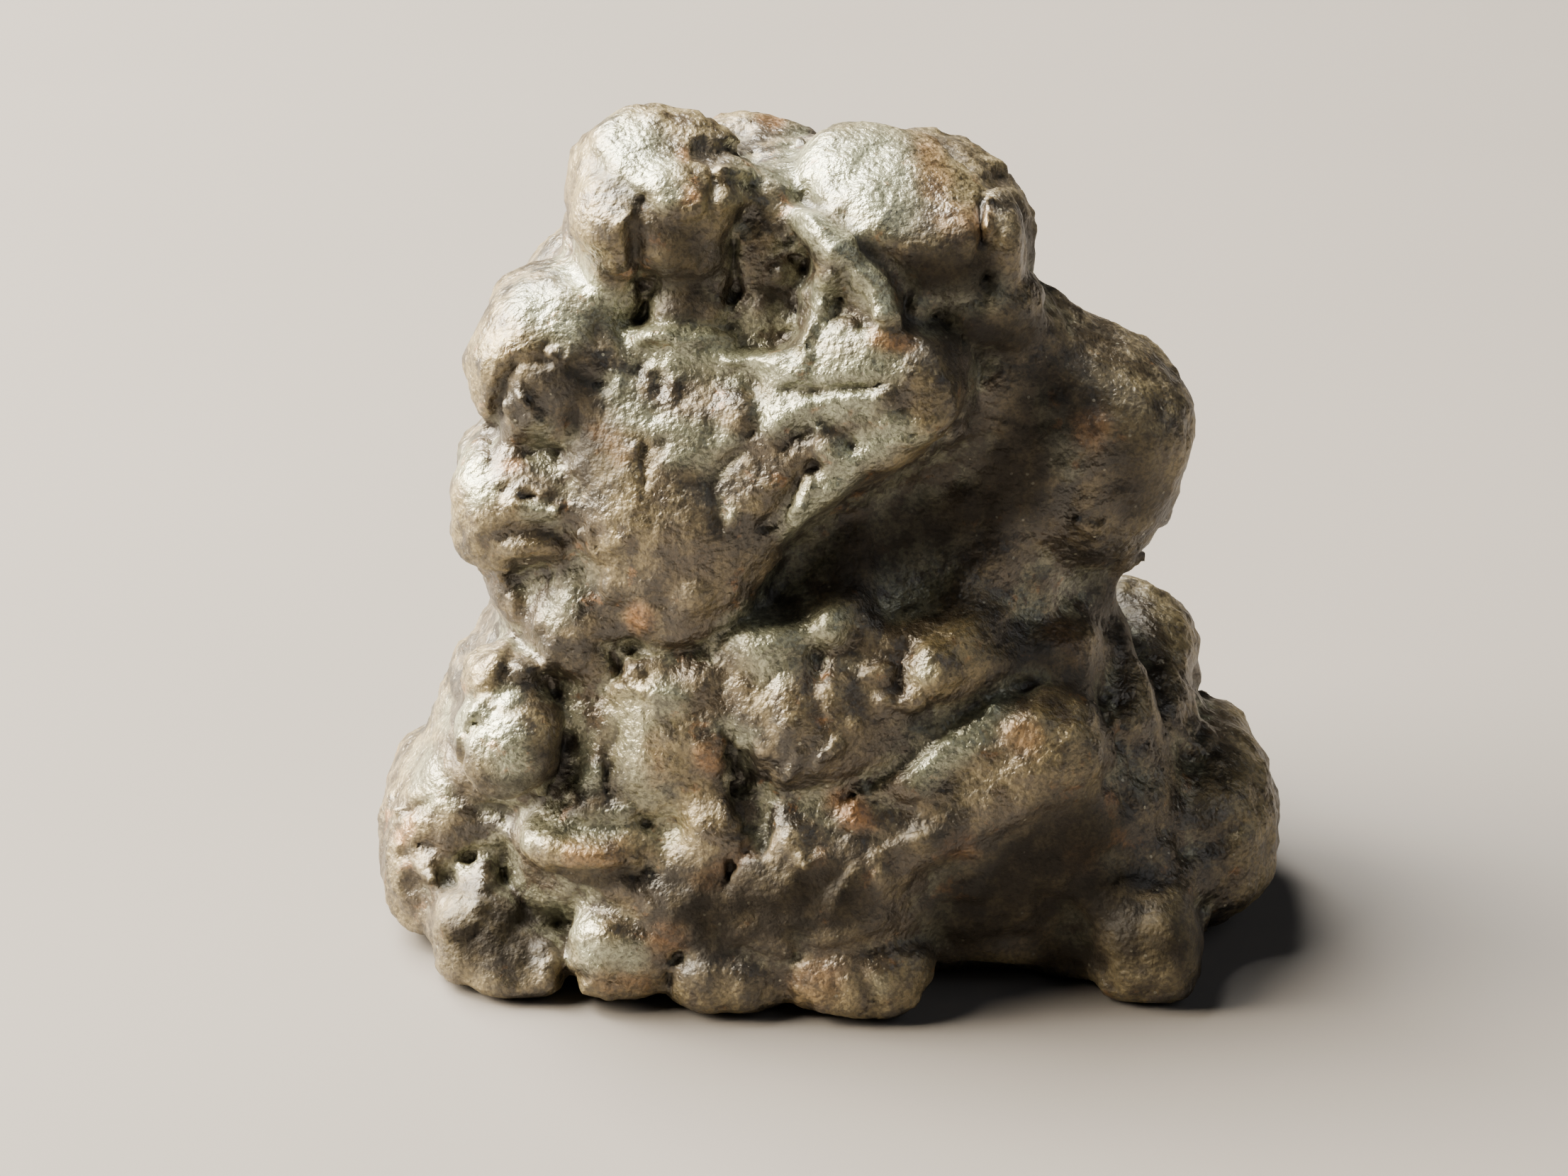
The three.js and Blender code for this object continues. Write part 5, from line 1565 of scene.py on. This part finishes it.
    def held(self, worked: np.ndarray) -> np.ndarray:
        """Keeps cuts that cross from adding up to a hole: depth = limit tanh(sum / limit)."""
        return np.where(worked < 0, self.deepest * np.tanh(worked / self.deepest), worked)

    def settle(self, block: Block, points: np.ndarray) -> np.ndarray:
        """Moves the skin's corners on to the surface: two steps of gap times slope / slope^2.

        Args:
            block: The finished block.
            points: Corners, mm.

        Returns:
            The moved corners, mm.
        """
        for _ in range(2):
            slope = block.slope(points)
            steep = np.maximum((slope * slope).sum(-1), 0.2)
            step = block.sample(block.gap, points)[:, None] * slope / steep[:, None]
            points = points - np.clip(step, -0.3 * self.cell, 0.3 * self.cell)
        return points

    def build(self, view: Viewpoint) -> bpy.types.Object:
        """Makes the stone's mesh, with its tints, grooves and recesses as attributes.

        The grain fades out at the floor, and varnish fills part of it where the varnish and painted
        highlight stain is strong.  The sides without marks are duller, and darker with painted
        shade.

        Args:
            view: The viewpoint that the marks are drawn from.

        Returns:
            The stone.
        """
        block = self.shape(view)
        points, faces = block.skin()
        points = self.settle(block, points)
        slope = block.slope(points)
        outward = slope / np.maximum(np.linalg.norm(slope, axis=1), 1e-6)[:, None]
        across, up, share = self.facing(block, points, view)
        across, up = self.strayed(points, across, up)
        stains = {kind: np.zeros(len(points)) for kind in Tint}
        worked = np.zeros(len(points))
        for region in self.regions:
            worked += region.work_over(across, up) * share
            for kind in Tint:
                stains[kind] = np.maximum(stains[kind], region.tint(across, up, kind) * share)
        # painted shade, darker and more matt, on the sides that the marks don't reach
        stains[Tint.PAINTED_SHADE] = np.maximum(stains[Tint.PAINTED_SHADE], self.unworked_painted_shade * (1 - share))
        calm = np.clip(points[:, 2] / self.grain_from, 0.0, 1.0)
        calm *= 1 - self.varnish_levels * stains[Tint.VARNISH_HIGHLIGHT]
        points = points + outward * (self.grain(points) * calm)[:, None]
        points[:, 2] = np.maximum(points[:, 2], 0.0)
        stone = make_mesh("stone", points + np.array(self.shift), faces, smooth=True)
        for kind, amount in stains.items():
            self.note(stone, kind.value, amount)
        self.note(stone, "groove", np.clip(-worked, 0.0, 1.0))
        for name, radius in RECESSES.items():
            self.note(stone, name, block.sample(block.fullness(radius), points))
        return stone

    def note(self, stone: bpy.types.Object, name: str, values: np.ndarray) -> None:
        """Keeps one number at each corner of the mesh under a name."""
        kept = stone.data.attributes.new(name, "FLOAT", "POINT")
        kept.data.foreach_set("value", values.astype(np.float32))

    def dress(self, stone: bpy.types.Object, finish: "VarnishedIronOxide") -> None:
        """Gives the stone its finish, hides the solid that it stands for, and parents it to what it
        rides on.

        Args:
            stone: The mesh.
            finish: The material.
        """
        stone.data.materials.append(finish.material())
        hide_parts("prophecy_stone")
        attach(stone, "root")


# --------------------------------------------------------------------------------------------
# Finishes
# --------------------------------------------------------------------------------------------
@dataclass(frozen=True)
class VarnishedIronOxide:
    """Hematite and limonite with a natural desert varnish, wind-polished.

    It gives a brown-grey, nearly metallic gloss over a granular skin: silvery grey-green where
    the varnish is thick, lightened there as painted highlight, dull tan where it is worn off the
    knobs, rust where the ore shows, and matt painted shade in the creases, in the grooves and on
    the sheltered side.
    """

    base_dark: str = "#2f281c"
    base_mid: str = "#554936"
    base_light: str = "#7a6c50"
    # varnish colour, lightened to stand for painted highlight
    varnish_highlight_tone: str = "#a5a88e"
    ochre: str = "#9a8a5f"
    rust: str = "#a17445"
    # painted shade colour; the fine dark specks use it too
    painted_shade: str = "#1c1710"
    dust: str = "#b9b39c"
    ior: float = 2.2
    metal: float = 0.5
    specular: float = 0.5
    gloss: float = 0.30
    dull: float = 0.52
    matt: float = 0.72
    broad_mm: float = 3.2
    blotch_mm: float = 0.9
    ore_mm: float = 1.3
    speck_mm: float = 0.16
    swell_mm: float = 0.60
    grain_mm: float = 0.24
    grit_mm: float = 0.10
    swell_deep: float = 0.16
    grain_deep: float = 0.05
    grit_deep: float = 0.03
    grain_stray: float = 0.25
    strays_per_mm: float = 3.0
    motes_per_mm: float = 1.25
    least_gloss: float = 0.36

    def material(self) -> bpy.types.Material:
        """Builds the material.

        Returns:
            The material.
        """
        made = bpy.data.materials.new("varnished_iron_oxide")
        made.use_nodes = True
        tree = made.node_tree
        tree.nodes.clear()
        place = add_node(tree, "TexCoord").outputs["Object"]
        scaled = add_node(tree, "VectorMath", {0: place, "Scale": 1 / METRES}, operation="SCALE")
        mm = scaled.outputs[0]
        share = self.shares(tree, mm)
        shader = add_node(
            tree,
            "BsdfPrincipled",
            {
                "Base Color": self.colour(tree, share),
                "Roughness": self.polish(tree, share),
                "Normal": self.relief(tree, mm, share),
                "Metallic": share["metal"],
                "Specular IOR Level": share["specular"],
                "IOR": self.ior,
            },
        )
        add_node(tree, "OutputMaterial", {"Surface": shader.outputs[0]})
        return made

    def shares(
        self, tree: bpy.types.NodeTree, mm: bpy.types.NodeSocket
    ) -> dict[str, bpy.types.NodeSocket]:
        """How much of each covering there is at a place, from 0 to 1, by name.

        The stone's own attributes are combined with clouds of noise.  Worn knobs lose their
        varnish and turn tan, shallow dips keep it, and painted shade darkens the creases, the
        grooves and the places given as shaded.

        Args:
            tree: The node tree.
            mm: Object coordinates in mm.

        Returns:
            Sockets by name.
        """
        share = {}
        for name in [kind.value for kind in Tint] + list(RECESSES) + ["groove"]:
            share[name] = add_node(tree, "Attribute", attribute_name=name).outputs["Fac"]
        for name, size, detail, rough in (
            ("broad", self.broad_mm, 4.0, 0.6),
            ("blotch", self.blotch_mm, 4.0, 0.62),
            ("ore", self.ore_mm, 5.0, 0.7),
            ("speck", self.speck_mm, 2.0, 0.5),
        ):
            settings = {"Vector": mm, "Scale": 1 / size, "Detail": detail, "Roughness": rough}
            share[name] = add_node(tree, "TexNoise", settings).outputs["Fac"]
        motes = add_node(tree, "TexVoronoi", {"Vector": mm, "Scale": self.motes_per_mm})
        share["mote"] = motes.outputs["Distance"]
        for name, value, low, high, start, stop in (
            ("mid", "broad", 0.36, 0.62, 0.0, 1.0),
            ("light", "blotch", 0.46, 0.68, 0.0, 1.0),
            ("knob", "recess_broad", 0.47, 0.34, 0.0, 1.0),
            ("bare", "broad", 0.35, 0.55, 0.0, 0.6),
            ("tan", "blotch", 0.34, 0.52, 0.0, 0.85),
            ("dip", "recess_broad", 0.5, 0.62, 0.0, 0.55),
            ("pool", "blotch", 0.42, 0.56, 0.0, 1.0),
            ("film", "blotch", 0.32, 0.5, 0.5, 0.95),
            ("vein", "ore", 0.60, 0.70, 0.0, 0.5),
            ("patch", "blotch", 0.36, 0.56, 0.3, 1.0),
            # this line and the next are painted shade, in fine recesses and in the grooves of the
            # marks
            ("crease", "recess_fine", 0.56, 0.76, 0.0, 0.6),
            ("groove", "groove", 0.12, 0.7, 0.0, 0.5),
            ("pepper", "speck", 0.56, 0.40, 0.0, 0.45),
            ("dust", "mote", 0.09, 0.05, 0.0, 0.8),
            # painted shade from the shade stains and the unmarked sides
            ("shade", "painted_shade", 0.0, 1.0, 0.0, 0.8),
        ):
            settings = {"Value": share[value], "From Min": low, "From Max": high}
            settings |= {"To Min": start, "To Max": stop}
            ranged = add_node(tree, "MapRange", settings, interpolation_type="SMOOTHSTEP")
            share[name] = ranged.outputs["Result"]
        share["metal full"] = self.metal
        share["specular full"] = self.specular
        share["one"] = 1.0
        for name, operation, first, second in (
            ("worn", "MULTIPLY", "knob", "bare"),
            ("tanned", "MAXIMUM", "ochre", "worn"),
            ("tanned", "MULTIPLY", "tanned", "tan"),
            ("pooled", "MULTIPLY", "dip", "pool"),
            # varnish pooled in dips, together with the painted highlight stains
            ("varnish_highlight_share", "MAXIMUM", "varnish_highlight", "pooled"),
            ("varnish_highlight_share", "MULTIPLY", "varnish_highlight_share", "film"),
            ("rusted", "MULTIPLY", "rust", "patch"),
            ("rusted", "MAXIMUM", "rusted", "vein"),
            # painted shade from the shade stains and grooves, which is also made matt and less
            # metallic
            ("painted_shade_share", "MAXIMUM", "shade", "groove"),
            ("unshaded_share", "SUBTRACT", "one", "painted_shade_share"),
            ("metal", "MULTIPLY", "unshaded_share", "metal full"),
            ("specular", "MULTIPLY", "unshaded_share", "specular full"),
        ):
            pair = {0: share[first], 1: share[second]}
            reckoned = add_node(tree, "Math", pair, operation=operation, use_clamp=True)
            share[name] = reckoned.outputs[0]
        return share

    def colour(
        self, tree: bpy.types.NodeTree, share: dict[str, bpy.types.NodeSocket]
    ) -> bpy.types.NodeSocket:
        """The skin's colour: each covering laid over the ones before it by its share.

        Args:
            tree: The node tree.
            share: How much of each covering there is.

        Returns:
            The colour.
        """
        tone = linear(self.base_dark)
        for covering, name in (
            (self.base_mid, "mid"),
            (self.base_light, "light"),
            (self.ochre, "tanned"),
            # varnish with painted highlight
            (self.varnish_highlight_tone, "varnish_highlight_share"),
            (self.rust, "rusted"),
            (self.dust, "dust"),
            # painted shade, then painted shade in creases; the specks after them are the stone's
            # own
            (self.painted_shade, "painted_shade_share"),
            (self.painted_shade, "crease"),
            (self.painted_shade, "pepper"),
        ):
            layers = {0: share[name], 6: tone, 7: linear(covering)}
            tone = add_node(tree, "Mix", layers, data_type="RGBA").outputs[2]
        return tone

    def polish(
        self, tree: bpy.types.NodeTree, share: dict[str, bpy.types.NodeSocket]
    ) -> bpy.types.NodeSocket:
        """The skin's roughness: glossiest on the varnish and its painted highlight, and matt under
        the painted shade.

        Args:
            tree: The node tree.
            share: How much of each covering there is.

        Returns:
            The roughness.
        """
        settings = {"Value": share["blotch"], "From Min": 0.35, "From Max": 0.65}
        settings |= {"To Min": self.least_gloss, "To Max": self.dull}
        ranged = add_node(tree, "MapRange", settings, interpolation_type="SMOOTHSTEP")
        rough = ranged.outputs["Result"]
        for target, name in ((self.gloss, "varnish_highlight_share"), (self.matt, "painted_shade_share")):
            rough = add_node(tree, "Mix", {0: share[name], 2: rough, 3: target}).outputs[0]
        return rough

    def relief(
        self,
        tree: bpy.types.NodeTree,
        mm: bpy.types.NodeSocket,
        share: dict[str, bpy.types.NodeSocket],
    ) -> bpy.types.NodeSocket:
        """The granular skin: wrinkles 0.6 mm apart, grains of 0.24 mm and grit of 0.1 mm.

        The wrinkles are deepest where the varnish and its painted highlight are strong.

        Args:
            tree: The node tree.
            mm: Object coordinates in mm.
            share: How much of each covering there is.

        Returns:
            The bent normal.
        """
        settings = {"Vector": mm, "Scale": 1 / self.swell_mm, "Detail": 4.0, "Roughness": 0.6}
        swells = add_node(tree, "TexNoise", settings).outputs["Fac"]
        settings = {"Vector": mm, "Scale": self.strays_per_mm, "Detail": 2.0}
        astray = add_node(tree, "TexNoise", settings).outputs["Color"]
        settings = {0: astray, 1: (self.grain_stray,) * 3, 2: mm}
        spot = add_node(tree, "VectorMath", settings, operation="MULTIPLY_ADD").outputs[0]
        settings = {"Vector": spot, "Scale": 1 / self.grain_mm, "Smoothness": 0.6}
        grains = add_node(tree, "TexVoronoi", settings, feature="SMOOTH_F1").outputs["Distance"]
        grit = add_node(tree, "TexNoise", {"Vector": mm, "Scale": 1 / self.grit_mm}).outputs["Fac"]
        settings = {"Value": share["varnish_highlight_share"], "To Min": 0.4, "To Max": 1.0}
        wrinkled = add_node(tree, "MapRange", settings).outputs["Result"]
        settings = {"Height": swells, "Strength": wrinkled, "Distance": self.swell_deep * METRES}
        normal = add_node(tree, "Bump", settings).outputs[0]
        settings = {"Height": grains, "Distance": self.grain_deep * METRES, "Normal": normal}
        normal = add_node(tree, "Bump", settings, invert=True).outputs[0]
        settings = {"Height": grit, "Distance": self.grit_deep * METRES, "Normal": normal}
        return add_node(tree, "Bump", settings).outputs[0]


@dataclass(frozen=True)
class PaintedBoard:
    """Matt pale paint on a smooth board: an even soft grey with a faint mottle."""

    paint: str = "#706c69"
    shade: str = "#6b6764"
    roughness: float = 0.8
    mottles_per_metre: float = 40.0

    def material(self) -> bpy.types.Material:
        """Builds the material.

        Returns:
            The material.
        """
        made = bpy.data.materials.new("painted_board")
        made.use_nodes = True
        tree = made.node_tree
        shader = tree.nodes["Principled BSDF"]
        place = add_node(tree, "TexCoord").outputs["Object"]
        settings = {"Vector": place, "Scale": self.mottles_per_metre, "Detail": 2.0}
        mottle = add_node(tree, "TexNoise", settings)
        layers = {0: mottle.outputs["Fac"], 6: linear(self.paint), 7: linear(self.shade)}
        mixed = add_node(tree, "Mix", layers, data_type="RGBA")
        tree.links.new(mixed.outputs[2], shader.inputs["Base Color"])
        shader.inputs["Roughness"].default_value = self.roughness
        return made


# --------------------------------------------------------------------------------------------
# The studio
# --------------------------------------------------------------------------------------------
@dataclass(frozen=True)
class Floor:
    """A pale board that the stone stands on, mm."""

    half_width: float = 1200.0

    def build(self) -> bpy.types.Object:
        """Makes the board, facing up.

        Returns:
            The board.
        """
        w = self.half_width
        corners = np.array([(-w, -w, 0.0), (w, -w, 0.0), (w, w, 0.0), (-w, w, 0.0)])
        board = make_mesh("floor", corners, np.array([[0, 1, 2, 3]]), smooth=False)
        board.data.materials.append(PaintedBoard().material())
        return board


@dataclass(frozen=True)
class Softbox:
    """A square area light, given by the direction that it shines from, with lengths in mm."""

    name: str
    towards: Triple
    distance: float
    side: float
    watts: float
    colour: str
    middle: Triple = (0.0, 0.0, 14.0)

    def build(self) -> bpy.types.Object:
        """Makes the light and turns it to the middle of the stone.

        Returns:
            The light.
        """
        data = bpy.data.lights.new(self.name, "AREA")
        data.shape = "SQUARE"
        data.size = self.side * METRES
        data.energy = self.watts
        data.color = linear(self.colour)[:3]
        light = bpy.data.objects.new(self.name, data)
        towards = mathutils.Vector(self.towards).normalized()
        light.location = (towards * self.distance + mathutils.Vector(self.middle)) * METRES
        light.rotation_euler = (-towards).to_track_quat("-Z", "Y").to_euler()
        bpy.context.scene.collection.objects.link(light)
        return light


@dataclass(frozen=True)
class Studio:
    """A broad low key from the left, one from high behind it, a faint fill, and a dim room."""

    key: Softbox = Softbox("key", (-0.83, 0.1, 0.55), 420.0, 320.0, 15.5, "#fff2da")
    top: Softbox = Softbox("top", (-0.45, 0.32, 0.83), 420.0, 260.0, 11.0, "#fbf7ec")
    fill: Softbox = Softbox("fill", (0.74, -0.28, 0.61), 420.0, 320.0, 0.3, "#eef1f5")
    room: str = "#c9d0d4"
    room_strength: float = 0.02

    def build(self) -> None:
        """Makes the lights and the room's even light."""
        self.key.build()
        self.top.build()
        self.fill.build()
        world = bpy.data.worlds.new("room")
        world.use_nodes = True
        background = world.node_tree.nodes["Background"]
        background.inputs["Color"].default_value = linear(self.room)
        background.inputs["Strength"].default_value = self.room_strength
        bpy.context.scene.world = world


# --------------------------------------------------------------------------------------------
# Everything, in order
# --------------------------------------------------------------------------------------------
def main() -> None:
    """Builds the camera, the stone, the floor and the lights."""
    logging.basicConfig(level=logging.INFO, format="%(name)s: %(message)s")
    view = Viewpoint()
    view.build()
    LOG.info("camera at %s mm", view.eye().round(1).tolist())
    regions = (Core(), Crown(), Shoulders(), Ledge(), LowerFront(), RightSide(), Feet(), Back())
    stone = Stone(regions)
    made = stone.build(view)
    stone.dress(made, VarnishedIronOxide())
    LOG.info("stone: %d corners, %d faces", len(made.data.vertices), len(made.data.polygons))
    Floor().build()
    LOG.info("floor")
    Studio().build()
    LOG.info("lights")


if __name__ == "__main__":
    main()
